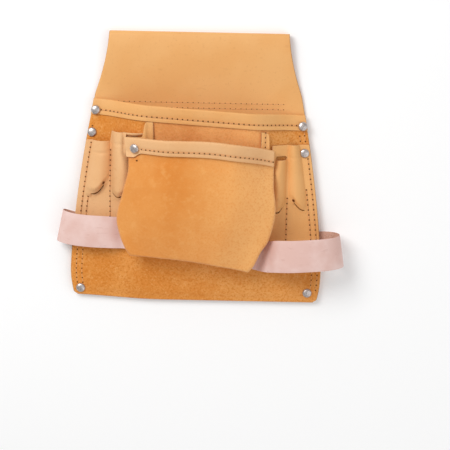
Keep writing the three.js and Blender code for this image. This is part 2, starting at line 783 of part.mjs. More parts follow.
function strapRivet(name, loop, along, across, holds) {
  const spot = loopPoint(loop, along, across);
  const top = spot.z + strapThickness / 2 * rise(mainMiddle, spot.x, spot.down);
  const normal = strapNormal(loop, along, across);
  return { name, ...spot, top, low: underMain(spot.x, spot.down), normal, holds };
}

// Behind the bag the strap turns under the back and its rivet is flat.
function tabRivet(name, loop, along, holds) {
  const spot = loopPoint(loop, along, 0.5);
  const top = panelMiddle(spot.down) + bodyLeather / 2;
  return { name, ...spot, top, low: tabMiddle - strapThickness / 2, flat: true, holds };
}

const hem = ['back_panel', 'main_pouch', 'main_hem'];
const seam = ['back_panel', 'main_pouch'];
const mouthRivetDown = (side) => mainMouth(side * shoulderHalfWidth) + hemWidth * (side < 0 ? 0.73 : 0.69);
const rightSleeve = sleeveMiddle(rightBank);
const bottomRivetDown = bagLength - bottomRivetUp;
const rivets = [
  seamRivet('rivet_mouth_left', -1, mouthRivetInset, mouthRivetDown(-1), pocketBed, pocketLeather, hem),
  seamRivet('rivet_mouth_right', 1, mouthRivetInset, mouthRivetDown(1), pocketBed, pocketLeather, hem),
  seamRivet('rivet_sleeve_left', -1, sleeveRivetInset, bagLength * 0.3715, mainMiddle, bodyLeather, seam),
  seamRivet('rivet_sleeve_right', 1, sleeveRivetInset, bagLength * 0.435, rightSleeve, pocketLeather,
    [...seam, 'right_sleeves']),
  seamRivet('rivet_bottom_left', -1, bottomRivetInset, bottomRivetDown, mainMiddle, bodyLeather, seam),
  seamRivet('rivet_bottom_right', 1, bottomRivetInset, bottomRivetDown, mainMiddle, bodyLeather, seam),
  frontPouchRivet('rivet_front_left', ['main_pouch', 'left_sleeves', 'front_pouch', 'front_hem']),
  strapRivet('rivet_loop_left_front', leftLoop, 0.04, 0.3, ['main_pouch', 'left_sleeves', 'left_loop']),
  strapRivet('rivet_loop_right_front', rightLoop, 0.035, 0.38, ['main_pouch', 'right_loop']),
  tabRivet('rivet_loop_left_back', leftLoop, 0.958, ['back_panel', 'left_loop']),
  tabRivet('rivet_loop_right_back', rightLoop, 0.968, ['back_panel', 'right_loop']),
];

// Rivets whose direction has at least this rise count as standing on flat leather.
const level = 0.995;
const rivetHoles = {};

function addRivet(rivet) {
  const { x, down } = rivet;
  const normal = rivet.flat ? new THREE.Vector3(0, 0, 1) : rivet.normal ?? unitNormal(mainMiddle, x, down);
  const room = normal.z < level ? rivetSeatRoom : 0;
  const top = rivet.top + room;
  const grip = (top - rivet.low + room) * normal.z;
  const turn = new THREE.Quaternion().setFromUnitVectors(new THREE.Vector3(0, 0, 1), normal);
  const spot = place(x, down, top);
  const geometry = rivetGeometry(grip, rivet.flat ? flatCap : domedCap);
  geometry.applyQuaternion(turn).translate(spot.x, spot.y, spot.z);
  add(rivet.name, geometry, nickel);
  const holeRadius = rivetShankRadius + clearance;
  const hole = new THREE.CylinderGeometry(holeRadius, holeRadius, grip + 2 * rivetHeadRadius, 10);
  hole.rotateX(Math.PI / 2).translate(0, 0, -grip / 2);
  hole.applyQuaternion(turn).translate(spot.x, spot.y, spot.z);
  rivet.holds.forEach((piece) => {
    rivetHoles[piece] = [...(rivetHoles[piece] ?? []), hole];
  });
}

rivets.forEach(addRivet);

function addLeather(name, surface, wall, finish, cutters = []) {
  add(name, cut(thicken(surface, wall), [...cutters, ...(rivetHoles[name] ?? [])]), finish);
}

addLeather('back_panel', backPanelSurface(), bodyLeather, smoothLeather);
addLeather('main_pouch', mainPouchSurface(), bodyLeather, suedeLeather);
addLeather('main_hem', mainHemSurface(), pocketLeather, smoothLeather);
addLeather('left_sleeves', sleeveSurface(leftBank), pocketLeather, smoothLeather, [
  ...leftBank.tubes.map((tube) => slitCutter(leftBank, tube)), slitHoleCutter(leftBank),
]);
addLeather('right_sleeves', sleeveSurface(rightBank), pocketLeather, smoothLeather, [
  ...rightBank.tubes.map((tube) => slitCutter(rightBank, tube)), slitHoleCutter(rightBank),
  slotCutter(rightBank, rightBank.tubes[0]),
]);
addLeather('front_pouch', frontPouchSurface(), pocketLeather, suedeLeather);
addLeather('front_hem', frontHemSurface(), pocketLeather, smoothLeather);
addLeather('left_loop', loopSurface(leftLoop), strapThickness, strapLeather);
addLeather('right_loop', loopSurface(rightLoop), strapThickness, strapLeather);

export default bag;
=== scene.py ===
import math

import bpy
import bmesh
import numpy as np
from mathutils import Matrix, Vector


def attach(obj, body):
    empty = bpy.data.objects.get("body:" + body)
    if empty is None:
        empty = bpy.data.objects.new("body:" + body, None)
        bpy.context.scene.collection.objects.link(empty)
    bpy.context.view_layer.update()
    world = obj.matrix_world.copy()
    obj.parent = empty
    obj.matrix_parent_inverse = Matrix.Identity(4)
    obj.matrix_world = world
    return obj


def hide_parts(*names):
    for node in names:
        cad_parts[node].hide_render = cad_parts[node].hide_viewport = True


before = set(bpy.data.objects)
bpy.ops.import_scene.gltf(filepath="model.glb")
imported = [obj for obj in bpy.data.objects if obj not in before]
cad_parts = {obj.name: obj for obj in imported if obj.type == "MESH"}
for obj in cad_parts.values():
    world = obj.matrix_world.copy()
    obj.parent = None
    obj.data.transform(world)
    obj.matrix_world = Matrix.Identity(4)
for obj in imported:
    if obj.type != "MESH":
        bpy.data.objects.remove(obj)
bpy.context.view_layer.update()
print("frame loaded:", len(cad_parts), "nodes")

mm = 0.001
weldDistance = 0.02 * mm

# The bag lies on its back: X across it, +Y up to the belt, +Z out of its front.
# "down" is the distance in millimetres below the top fold.
bag = {
    "leather": 2.0, "pocketLeather": 1.8, "strap": 2.4, "strapWidth": 32.0,
    "gap": 0.3, "bellyGap": 0.45, "toeRoom": 0.45,
    "length": 266.5, "topHalf": 87.7, "shoulderHalf": 101.5, "shoulderDown": 60.0,
    "shoulderCurve": 1.6, "fullHalf": 125.7, "widestDown": 240.0, "flareCurve": 1.5, "bottomTaper": 3.5,
    "corner": 3.0, "straightShare": 0.86, "cornerLift": 4.2, "liftAcross": (35, 130), "liftDown": (216, 266),
    "flap": 81.0, "tunnelRoom": 7.0, "seamDown": 71.0, "slopeFrom": 8.0, "panelRise": 20.0,
    "centreDown": 36.0, "headHeight": 0.9,
}


# Plain helpers

def clamp(value, low=0.0, high=1.0):
    return np.minimum(np.maximum(value, low), high)


def lerp(start, end, share):
    return start + (end - start) * share


def unit(vectors):
    return vectors / np.linalg.norm(vectors, axis=-1, keepdims=True)


# Goes from 0 at low to 1 at high along 3t^2 - 2t^3.
def smooth(value, low, high):
    t = clamp((np.asarray(value, float) - low) / (high - low))
    return t * t * (3 - 2 * t)


# A cubic from start to end whose slopes at t = 0 and t = 1 are given.
def bend(start, end, slopeStart, slopeEnd, t):
    return (start + slopeStart * t + (3 * (end - start) - 2 * slopeStart - slopeEnd) * t ** 2
            + (2 * (start - end) + slopeStart + slopeEnd) * t ** 3)


# Reads one column of a table along a smooth curve that never swings past its values.
def readTable(table, column, share):
    at, value = np.array(table["share"]), np.array(table[column])
    slope = np.diff(value) / np.diff(at)
    steady = slope[:-1] * slope[1:] > 0
    inner = np.where(steady, 2 * slope[:-1] * slope[1:] / np.where(steady, slope[:-1] + slope[1:], 1), 0)
    tangent = np.concatenate([slope[:1], inner, slope[-1:]])
    share = clamp(np.asarray(share, float))
    first = np.clip(np.searchsorted(at, share, side="right") - 1, 0, len(at) - 2)
    width = at[first + 1] - at[first]
    return bend(value[first], value[first + 1], tangent[first] * width, tangent[first + 1] * width,
                (share - at[first]) / width)


# A soft unevenness: the mean of a few crossed sine waves, worked out from the place, in millimetres.
waveCount = 6


def waves(x, down, size, seed):
    rng = np.random.default_rng(seed)
    total = np.zeros(np.broadcast(x, down).shape)
    for _ in range(waveCount):
        turn, phase = rng.uniform(0, 2 * math.pi, 2)
        pitch = size * rng.uniform(0.7, 1.6)
        total += np.sin((x * math.cos(turn) + down * math.sin(turn)) * 2 * math.pi / pitch + phase)
    return total / waveCount


# A point of the frame. The lower left corner is drawn up, more the nearer a place is to it.
def place(x, down, z):
    x, down, z = np.broadcast_arrays(x, down, z)
    lift = bag["cornerLift"] * smooth(-x, *bag["liftAcross"]) * smooth(down, *bag["liftDown"])
    return np.stack([x, bag["centreDown"] - down + lift, z], axis=-1)


# The bag's own outline: half its width at each distance down. It curves out to the shoulder, flares from
# there to its widest place, then draws in again and goes round the corner.
def halfWidth(down):
    down = clamp(down, 0, bag["length"])
    top = lerp(bag["topHalf"], bag["shoulderHalf"], clamp(down / bag["shoulderDown"]) ** bag["shoulderCurve"])
    flare = clamp((down - bag["shoulderDown"]) / (bag["widestDown"] - bag["shoulderDown"]))
    wide = lerp(bag["shoulderHalf"], bag["fullHalf"], 1 - (1 - flare) ** bag["flareCurve"])
    low = clamp((down - bag["widestDown"]) / (bag["length"] - bag["widestDown"]))
    corner = clamp(down - (bag["length"] - bag["corner"]), 0, bag["corner"])
    rounding = bag["corner"] - np.sqrt(bag["corner"] ** 2 - corner ** 2)
    return np.where(down < bag["shoulderDown"], top, wide - bag["bottomTaper"] * low ** 2 - rounding)


foldRadius = (bag["tunnelRoom"] + bag["leather"]) / 2
flapMiddle = bag["leather"] / 2
bodyUnder = bag["headHeight"] + bag["strap"] + 2 * bag["gap"]


# The panel's height: it slopes from the fold's top to the tunnel's seam, then rises over the loops' ends.
def panelMiddle(down):
    seam = flapMiddle + bag["leather"] + bag["gap"]
    top = flapMiddle + 2 * foldRadius
    sloped = lerp(top, seam, smooth(down, bag["slopeFrom"], bag["seamDown"]))
    raised = smooth(down, bag["flap"], bag["flap"] + bag["panelRise"])
    return sloped + (bodyUnder + bag["leather"] / 2 - seam) * raised


pouch = {
    "mouthDown": 72.0, "mouthSlope": 0.062, "belly": 28.0, "edge": 0.93, "flat": 0.45,
    "hemWidth": 15.5, "hemStitch": 4.8, "hemFold": 1.3, "hemGroove": 0.35, "grooveWidth": 1.1,
    "hemAcross": 110, "foldSteps": 9, "foldRound": 0.85, "sag": 0.5, "sagWaves": (46, 5),
}


# Share of the full belly at a place: 1 in the middle, 0 at the side seams.
def swell(x, down):
    return 1 - smooth(np.abs(x) / halfWidth(down), pouch["flat"], pouch["edge"])


# The pouch lies on the panel with a belly that is full at its mouth and dies away toward the bottom.
def mainMiddle(x, down):
    fullness = 1 - clamp((down - pouch["mouthDown"]) / (bag["length"] - pouch["mouthDown"]))
    return panelMiddle(down) + bag["leather"] + bag["gap"] + pouch["belly"] * fullness * swell(x, down)


# The mouth is a straight line that drops a little to the right.
def mainMouth(x):
    return pouch["mouthDown"] + pouch["mouthSlope"] * x


# A height field's slopes across and down the bag.
def slopes(height, x, down, step):
    across = (height(x + step, down) - height(x - step, down)) / (2 * step)
    along = (height(x, down + step) - height(x, down - step)) / (2 * step)
    return across, along


# The middle of a leather that lies on top of another leather's middle. Its wall stands taller on a slope,
# by the root of 1 plus the slopes squared.
def layOn(below, belowWall, wall):
    def middle(x, down):
        gap = bag["gap"] + bag["bellyGap"] * np.minimum(1, bag["toeRoom"] + swell(x, down))
        across, along = slopes(below, x, down, 0.5)
        return below(x, down) + (gap + (belowWall + wall) / 2) * np.sqrt(1 + across ** 2 + along ** 2)
    return middle


pocketBed = layOn(mainMiddle, bag["leather"], bag["pocketLeather"])
strapBed = layOn(pocketBed, bag["pocketLeather"], bag["strap"])


# Shader maths: a socket with the usual operators. Each operator adds one Math node.

class Wire:
    def __init__(self, paint, socket):
        self.paint = paint
        self.socket = socket

    def join(self, operation, first, second):
        return self.paint.node("ShaderNodeMath", {"operation": operation}, {0: first, 1: second})

    def __add__(self, other):
        return self.join("ADD", self, other)

    def __radd__(self, other):
        return self.join("ADD", other, self)

    def __sub__(self, other):
        return self.join("SUBTRACT", self, other)

    def __rsub__(self, other):
        return self.join("SUBTRACT", other, self)

    def __mul__(self, other):
        return self.join("MULTIPLY", self, other)

    def __rmul__(self, other):
        return self.join("MULTIPLY", other, self)


# One material, and the nodes that feed its shader.
class Paint:
    def __init__(self, name):
        self.material = bpy.data.materials.new(name)
        self.material.use_nodes = True
        self.tree = self.material.node_tree
        self.shader = self.tree.nodes["Principled BSDF"]

    # Adds one node: its settings first, then the values or links of its sockets.
    def node(self, kind, settings=None, sockets=None, output=0):
        made = self.tree.nodes.new(kind)
        for name, value in (settings or {}).items():
            setattr(made, name, value)
        for name, value in (sockets or {}).items():
            self.feed(made.inputs[name], value)
        return Wire(self, made.outputs[output])

    def feed(self, socket, value):
        if isinstance(value, Wire):
            self.tree.links.new(value.socket, socket)
        else:
            socket.default_value = value

    def noise(self, vector, scale, detail, rough, stretch=None):
        if stretch:
            vector = self.node("ShaderNodeMapping", sockets={"Vector": vector, "Scale": stretch})
        return self.node("ShaderNodeTexNoise", sockets={"Vector": vector, "Scale": scale, "Detail": detail,
                                                        "Roughness": rough})

    # Turns low..high of a value into 0..1.
    def band(self, value, low, high):
        return self.node("ShaderNodeMapRange", {"interpolation_type": "SMOOTHSTEP"},
                         {"Value": value, "From Min": low, "From Max": high})

    # Blends two colours. On a Mix node set to colours, 0 is the factor, 6 and 7 the colours and 2 the result.
    def mix(self, factor, first, second):
        return self.node("ShaderNodeMix", {"data_type": "RGBA"}, {0: factor, 6: first, 7: second}, 2)

    def finish(self, sockets):
        for name, value in sockets.items():
            self.feed(self.shader.inputs[name], value)
        return self.material


# A colour as seen on screen, 0 to 255, into the shader's linear values.
def colour(red, green, blue):
    linear = [((part / 255 + 0.055) / 1.055) ** 2.4 if part > 10 else part / 255 / 12.92
              for part in (red, green, blue)]
    return (*linear, 1.0)


# A look's patterns are noises in columns scale (waves a metre), detail, roughness and stretch, and grain is
# the scale of a pebbled one. Its tone runs from dark to pale over spread, along the sum of the patterns in
# tone, and is drawn back to base by all but cloudy. Each layer, in columns pattern, low, high, share, colour
# and spared, starts where its pattern passes low and is full at high. relief is the sum that bump reads, in
# columns strength and distance. rough is the least roughness, the pattern that adds to it, and its share.

# Full-grain leather: soft cloudy colour, fine pebble grain, a few darker pores and scuffs.
smoothLook = {
    "base": colour(234, 173, 105), "dark": colour(226, 160, 91), "pale": colour(239, 189, 128),
    "mark": colour(200, 134, 72), "cloudy": 0.2, "grain": 950.0, "tone": {"cloud": 1.0},
    "spread": (0.38, 0.66),
    "patterns": {"cloud": (22.0, 3.0, 0.55), "fleck": (420.0, 3.0, 0.6), "pores": (1500.0, 2.0, 0.6),
                 "creases": (70.0, 4.0, 0.6, (1.0, 2.6, 1.0))},
    "layers": [("fleck", 0.6, 0.76, 0.22, "pale", False), ("fleck", 0.42, 0.26, 0.25, "mark", False),
               ("creases", 0.62, 0.74, 0.18, "mark", False)],
    "relief": {"grain": 0.55, "pores": 0.35, "creases": 0.9}, "bump": (0.55, 0.00018),
    "rough": (0.52, "fleck", 0.14), "sockets": {"Specular IOR Level": 0.35},
}
# Undyed strap leather: pinkish, close-grained, with faint streaks along it.
strapLook = {
    "base": colour(231, 197, 189), "dark": colour(222, 178, 164), "pale": colour(242, 214, 206),
    "mark": colour(196, 146, 130), "cloudy": 0.5, "tone": {"cloud": 1.0}, "spread": (0.36, 0.66),
    "patterns": {"cloud": (34.0, 3.0, 0.55), "streaks": (210.0, 3.0, 0.6, (0.35, 1.6, 1.0)),
                 "pores": (1600.0, 2.0, 0.6)},
    "layers": [("streaks", 0.58, 0.76, 0.3, "mark", False), ("pores", 0.4, 0.25, 0.2, "mark", False)],
    "relief": {"pores": 0.5, "streaks": 0.6}, "bump": (0.5, 0.00012),
    "rough": (0.58, "streaks", 0.1), "sockets": {"Specular IOR Level": 0.3},
}


# Split suede: pale tufts and dark specks over a brushed tone.
def suedeLayers(tufts, specks):
    return [("mottle", 0.5, 0.72, 0.35, "pale", False), ("tufts", 0.56, 0.74, tufts, "fleck", False),
            ("tufts", 0.5, 0.36, specks, "dark", True), ("nap", 0.46, 0.28, specks, "dark", True)]


# Its base turns into side over sideFrom across the bag, and into top inside a window that starts at topAbove
# and reaches across over topFrom, with soft borders as wide as topSoft. Spared layers are weaker there.
# The top colour here is painted light: a lighter patch on the suede between the front pouch's flanges, where
# more light falls.
suedeLook = {
    "base": colour(233, 154, 72), "dark": colour(206, 122, 42), "pale": colour(240, 174, 100),
    "fleck": colour(240, 184, 118), "side": colour(214, 136, 62), "sideFrom": (-0.06, 0.1),
    "top": colour(243, 171, 110), "topFrom": (-0.047, 0.071), "topAbove": -0.082, "topSoft": (0.004, 0.01),
    "topSpared": 0.65, "cloudy": 0.5, "tone": {"brushed": 1.0}, "spread": (0.36, 0.64),
    "patterns": {"brushed": (16.0, 4.0, 0.6, (1.0, 0.7, 1.0)), "mottle": (120.0, 3.0, 0.65),
                 "nap": (800.0, 3.0, 0.7), "tufts": (520.0, 2.0, 0.6)},
    "layers": suedeLayers(0.45, 0.75), "relief": {"nap": 0.6, "tufts": 0.7, "mottle": 0.8},
    "bump": (0.8, 0.0004),
    "sockets": {"Roughness": 0.96, "Specular IOR Level": 0.12, "Sheen Weight": 0.22,
                "Sheen Roughness": 0.5},
}
# Here the top colour is painted shade: it darkens the upper left of the pouch's face, which the key lamp
# lights more than the rest.
frontSuede = {
    **suedeLook, "base": colour(234, 155, 78), "dark": colour(222, 138, 62), "pale": colour(240, 176, 104),
    "side": colour(244, 183, 116), "top": colour(218, 134, 56), "topFrom": (-0.2, 0.06), "topAbove": -0.182,
    "topSoft": (0.09, 0.07), "cloudy": 0.35, "layers": suedeLayers(0.15, 0.4),
}
strapFlesh = {
    **suedeLook, "base": colour(214, 170, 150), "dark": colour(196, 148, 128), "pale": colour(226, 188, 170),
    "fleck": colour(232, 200, 184), "side": colour(214, 170, 150),
}

# A cut edge: bare fibres, streaked through the thickness.
edgeLook = {
    "pale": colour(236, 196, 146), "dark": colour(176, 122, 74), "spread": (0.4, 0.72),
    "patterns": {"fibres": (900.0, 4.0, 0.7), "patches": (60.0, 2.0, 0.5)},
    "tone": {"fibres": 0.6, "patches": 0.5}, "relief": {"fibres": 1.0}, "bump": (0.7, 0.0003),
    "sockets": {"Roughness": 0.9, "Specular IOR Level": 0.15},
}
# Nickel plate with fine handling scratches.
nickelLook = {
    "dark": colour(176, 164, 160), "pale": colour(214, 206, 202), "spread": (0.7, 0.35),
    "tone": {"wear": 1.0},
    "patterns": {"wear": (700.0, 3.0, 0.6), "scratches": (2600.0, 2.0, 0.6, (0.3, 2.0, 1.0))},
    "relief": {"scratches": 1.0, "wear": 0.6}, "bump": (0.35, 0.00008),
    "rough": (0.24, "wear", 0.22), "sockets": {"Metallic": 1.0},
}
threadLook = {
    "dark": colour(214, 152, 92), "pale": colour(240, 190, 134), "spread": (0.35, 0.65),
    "patterns": {"twist": (2400.0, 2.0, 0.6)}, "tone": {"twist": 1.0}, "relief": {"twist": 1.0},
    "bump": (0.6, 0.0002), "sockets": {"Roughness": 0.75},
}
# The holes' colour is painted shade: the dark of the shadow inside each stitch hole.
holeShadeLook = {
    "dark": colour(82, 42, 18), "pale": colour(132, 78, 38), "patterns": {"fibres": (1800.0, 2.0, 0.6)},
    "tone": {"fibres": 1.0}, "sockets": {"Roughness": 0.95, "Specular IOR Level": 0.05},
}


# Builds one material from a look.
def paintLook(name, look):
    paint = Paint(name)
    where = paint.node("ShaderNodeTexCoord", output="Object")
    pattern = {key: paint.noise(where, *values) for key, values in look["patterns"].items()}
    if "grain" in look:
        pebbles = {"Vector": where, "Scale": look["grain"]}
        pattern["grain"] = paint.node("ShaderNodeTexVoronoi", sockets=pebbles)

    def total(weights):
        return sum(pattern[key] * weight for key, weight in weights.items())

    along = total(look["tone"])
    if "spread" in look:
        along = paint.band(along, *look["spread"])
    tone = paint.mix(along, look["dark"], look["pale"])
    if "side" in look:
        across, upward = (paint.node("ShaderNodeSeparateXYZ", sockets={"Vector": where}, output=axis)
                          for axis in (0, 1))
        # top is the mask of the window that holds the painted light of the suede and the painted shade of the
        # front suede.
        start, end = look["topFrom"]
        soft, softUp = look["topSoft"]
        top = paint.band(upward, look["topAbove"], look["topAbove"] + softUp)
        top = top * paint.band(across, start, start + soft) * paint.band(across, end, end - soft)
        base = paint.mix(paint.band(across, *look["sideFrom"]), look["base"], look["side"])
        tone = paint.mix(1 - look["cloudy"], tone, paint.mix(top, base, look["top"]))
    elif "base" in look:
        tone = paint.mix(1 - look["cloudy"], tone, look["base"])
    for key, low, high, share, shade, spared in look.get("layers", []):
        amount = (1 - top * look["topSpared"]) * share if spared else share
        tone = paint.mix(paint.band(pattern[key], low, high) * amount, tone, look[shade])
    sockets = {"Base Color": tone, **look["sockets"]}
    if "rough" in look:
        smoothest, key, share = look["rough"]
        sockets["Roughness"] = smoothest + pattern[key] * share
    if "relief" in look:
        strength, distance = look["bump"]
        sockets["Normal"] = paint.node("ShaderNodeBump", sockets={
            "Height": total(look["relief"]), "Strength": strength, "Distance": distance})
    return paint.finish(sockets)


looks = {
    "smooth": paintLook("smoothLeather", smoothLook),
    "pale": paintLook("paleLeather", {**smoothLook, "base": colour(234, 181, 126),
                                      "dark": colour(226, 166, 108), "pale": colour(238, 194, 146)}),
    "suede": paintLook("suedeLeather", suedeLook),
    "frontSuede": paintLook("frontSuede", frontSuede),
    "strap": paintLook("strapLeather", strapLook),
    "strapFlesh": paintLook("strapFlesh", strapFlesh),
    "edge": paintLook("cutEdge", edgeLook),
    "strapEdge": paintLook("strapCutEdge", {**edgeLook, "pale": colour(226, 182, 164),
                                            "dark": colour(170, 118, 98)}),
    "nickel": paintLook("nickelPlate", nickelLook),
    "thread": paintLook("waxedThread", threadLook),
    "hole": paintLook("stitchHole", holeShadeLook),
}
print("materials ready:", len(looks))


# Mesh helpers

# One grid surface: points is rows by columns by 3. Its faces look along (down x across).
def gridFaces(rows, columns, start=0):
    index = np.arange(rows * columns).reshape(rows, columns) + start
    return np.stack([index[:-1, :-1], index[1:, :-1], index[1:, 1:], index[:-1, 1:]], axis=-1).reshape(-1, 4)


# A smooth mesh from points in millimetres.
def meshObject(name, points, faces, materials):
    mesh = bpy.data.meshes.new(name)
    points = np.asarray(points, float).reshape(-1, 3) * mm
    mesh.vertices.add(len(points))
    mesh.vertices.foreach_set("co", points.ravel())
    mesh.loops.add(faces.size)
    mesh.loops.foreach_set("vertex_index", faces.ravel().astype(np.int32))
    mesh.polygons.add(len(faces))
    mesh.polygons.foreach_set("loop_start", (np.arange(len(faces)) * faces.shape[1]).astype(np.int32))
    mesh.update(calc_edges=True)
    mesh.validate()
    for material in materials:
        mesh.materials.append(looks[material])
    mesh.shade_smooth()
    piece = bpy.data.objects.new(name, mesh)
    bpy.context.scene.collection.objects.link(piece)
    return piece


def reshape(piece, change):
    shape = bmesh.new()
    shape.from_mesh(piece.data)
    change(shape)
    shape.to_mesh(piece.data)
    shape.free()
    piece.data.shade_smooth()


# Merges the places where surfaces meet.
def weld(shape):
    bmesh.ops.remove_doubles(shape, verts=shape.verts, dist=weldDistance)


# Closes the open ends of a turned piece and points its faces outwards.
def closeHoles(shape):
    bmesh.ops.holes_fill(shape, edges=[edge for edge in shape.edges if edge.is_boundary], sides=0)
    bmesh.ops.recalc_face_normals(shape, faces=shape.faces)


# A leather: the middle surface gets its wall, soft edges, and its own look on face, back and rim.
def leather(name, surfaces, wall, materials, node, evenWall=True):
    points = []
    faces = []
    start = 0
    for surface in surfaces:
        rows, columns = surface.shape[:2]
        points.append(surface.reshape(-1, 3))
        faces.append(gridFaces(rows, columns, start))
        start += rows * columns
    piece = meshObject(name, np.concatenate(points), np.concatenate(faces), materials)
    reshape(piece, weld)
    shell = piece.modifiers.new("wall", "SOLIDIFY")
    shell.thickness = wall * mm
    shell.offset = 0
    shell.use_even_offset = evenWall
    shell.use_quality_normals = True
    shell.thickness_clamp = 2.0
    shell.material_offset = 1
    shell.material_offset_rim = 2
    divide = piece.modifiers.new("finer", "SUBSURF")
    divide.levels = 1
    divide.render_levels = 1
    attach(piece, "root")
    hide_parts(node)
    print("made", name)


# Rows from a mouth or fold to the bottom edge: even down to the corners, then along a sine round them.
def towardBottom(start, share):
    cornerStart = bag["length"] - bag["corner"]
    straight = lerp(start, cornerStart, clamp(share / bag["straightShare"]))
    turn = clamp((share - bag["straightShare"]) / (1 - bag["straightShare"])) * math.pi / 2
    return straight + bag["corner"] * np.sin(turn)


# Back and belt tunnel: a path of down and z, carried across the bag.
backPiece = {
    "across": 56, "flapRows": 16, "foldRows": 10, "panelRows": 66,
    "unevenness": 0.35, "waves": (60, 3), "unevenFrom": (6, 20), "evenFrom": (52, 66),
}


def makeBack():
    size = backPiece
    flapDown = np.linspace(bag["flap"], foldRadius, size["flapRows"], endpoint=False)
    turn = np.linspace(0, math.pi, size["foldRows"], endpoint=False)
    panelDown = towardBottom(foldRadius, np.linspace(0, 1, size["panelRows"]))
    foldDown = foldRadius * (1 - np.sin(turn))
    down = np.concatenate([flapDown, foldDown, panelDown])
    foldHeight = flapMiddle + foldRadius * (1 - np.cos(turn))
    height = np.concatenate([np.full(size["flapRows"], flapMiddle), foldHeight, panelMiddle(panelDown)])
    isFlap = np.arange(len(down)) < size["flapRows"] + size["foldRows"]
    half = np.where(isFlap, bag["topHalf"], halfWidth(down))
    share = np.linspace(-1, 1, size["across"])
    x = share[None, :] * half[:, None]
    downGrid = np.broadcast_to(down[:, None], x.shape)
    z = np.broadcast_to(height[:, None], x.shape).copy()
    free = smooth(downGrid, *size["unevenFrom"]) * (1 - smooth(downGrid, *size["evenFrom"]))
    z += free * ~isFlap[:, None] * size["unevenness"] * waves(x, downGrid, *size["waves"])
    leather("backPanel", [place(x, downGrid, z)], bag["leather"], ["smooth", "suede", "edge"],
            "back_panel")


# Main pouch front: bellied suede whose foot is turned down round the back's bottom edge.
mainPiece = {
    "across": 64, "rows": 52, "turnRows": 4,
    "unevenness": 0.7, "waves": (55, 11), "unevenFrom": (180, 235), "evenFrom": (245, 262),
}


def makeMain():
    size = mainPiece
    share = np.linspace(-1, 1, size["across"])[None, :]
    along = np.linspace(0, 1, size["rows"])[:, None]
    mouth = mainMouth(share * halfWidth(pouch["mouthDown"])) + pouch["hemFold"]
    down = towardBottom(mouth, along)
    x = share * halfWidth(down)
    z = mainMiddle(x, down)
    free = swell(x, down) * smooth(down, *size["unevenFrom"]) * (1 - smooth(down, *size["evenFrom"]))
    z += size["unevenness"] * waves(x, down, *size["waves"]) * free
    turn = np.linspace(0, math.pi / 2, size["turnRows"] + 1)[1:, None]
    foldOut = bag["leather"] / 2 + bag["gap"]
    turnX = np.broadcast_to(x[-1], (size["turnRows"], size["across"]))
    turnDown = bag["length"] + foldOut * np.sin(turn) + 0 * turnX
    turnZ = z[-1] - (bag["leather"] + bag["gap"]) * (1 - np.cos(turn))
    surface = np.concatenate([place(x, down, z), place(turnX, turnDown, turnZ)])
    leather("mainPouch", [surface], bag["leather"], ["suede", "smooth", "edge"],
            "main_pouch")


# A hem is the pouch's own leather turned outwards: a flat band with a round fold at the mouth.
# band gives a point of the band and the one below it on the pouch, at a distance from the mouth.
hemSteps = [15.5, 14.9, 13.6, 12.4, 11.5, 10.7, 9.9, 9.0, 7.4, 5.6, 3.8, 2.4]


def hemSurface(band):
    rows = []
    for step in hemSteps:
        outer, inner, outward = band(step)
        fromStitch = (step - pouch["hemWidth"] + pouch["hemStitch"]) / pouch["grooveWidth"]
        rows.append(outer - outward * pouch["hemGroove"] * math.exp(-fromStitch ** 2))
    outer, inner, outward = band(pouch["hemFold"])
    upward = np.zeros_like(outer)
    upward[..., 1] = pouch["hemFold"] * pouch["foldRound"]
    for turn in np.linspace(0, math.pi, pouch["foldSteps"]):
        rows.append((outer + inner) / 2 + (outer - inner) / 2 * math.cos(turn) + upward * math.sin(turn))
    return np.stack(rows)[::-1]


def makeMainHem():
    share = np.linspace(-1, 1, pouch["hemAcross"])

    def band(distance):
        down = mainMouth(share * halfWidth(pouch["mouthDown"])) + distance
        x = share * halfWidth(down)
        sag = pouch["sag"] * waves(x, 0 * x, *pouch["sagWaves"]) * swell(x, down)
        outer = place(x, down, pocketBed(x, down) + sag)
        inner = place(x, down, mainMiddle(x, down))
        return outer, inner, unit(outer - inner)

    leather("mainHem", [hemSurface(band)], bag["pocketLeather"], ["smooth", "suede", "edge"],
            "main_hem")


# Front pouch. Shares run from 0 at its mouth to 1 at its bottom, and inwards from its sides.
front = {
    "mouthDown": 100.0, "mouthDrop": 12.6, "bottomDown": 220.93, "bottomSlope": 0.14, "bottomBow": 6.7,
    "half": 78.0, "mouthBelly": 17.0, "faceBelly": 10.0, "fullFrom": 0.4, "bellyRound": (0.06, 0.6),
    "bottomFlatter": 0.55, "depth": 19.0, "fold": 1.35, "roundFold": 3.0,
    "leftPleat": 16.0, "rightPleat": 10.0, "bottomPleat": 10.0, "pleatFall": 1.15,
    "flange": 8.0, "flangeRoom": 0.2, "flangeRise": 15.0, "riseFrom": 0.86, "riseTo": 0.125,
    "hemRoom": 0.8, "hemDrop": 6.0, "dropAt": (0.8, 0.95), "hemEnds": (-1.04, 1), "hemAcross": 120,
    "across": 72, "down": 80, "crowding": 0.92, "foldRings": 9,
    "pleatRings": (0.14, 0.3, 0.45, 0.6, 0.74, 0.86, 0.93, 1), "flangeRings": (0.25, 0.6, 1.0),
    "unevenness": 0.8, "waves": (62, 21), "unevenFrom": (0.25, 0.6), "unevenIn": (0.05, 0.4),
}
# Its outline: how wide it is to each side as a share of half, and how full its pleats and depth are there.
frontOutline = {
    "share": (0.0, 0.125, 0.25, 0.4375, 0.6875, 0.8125, 0.9375, 1.0),
    "left": (0.87, 0.855, 0.845, 0.905, 0.985, 0.948, 0.878, 0.82),
    "right": (0.96, 0.96, 0.96, 0.99, 0.917, 0.814, 0.733, 0.67),
    "leftPleat": (1.0, 1.0, 0.9, 0.9, 0.95, 1.0, 1.0, 1.0),
    "rightPleat": (0.4, 0.4, 0.5, 0.7, 0.95, 1.0, 1.0, 1.0),
    "depth": (0.0, 0.0, 0.45, 0.85, 1.0, 1.0, 0.97, 0.95),
}


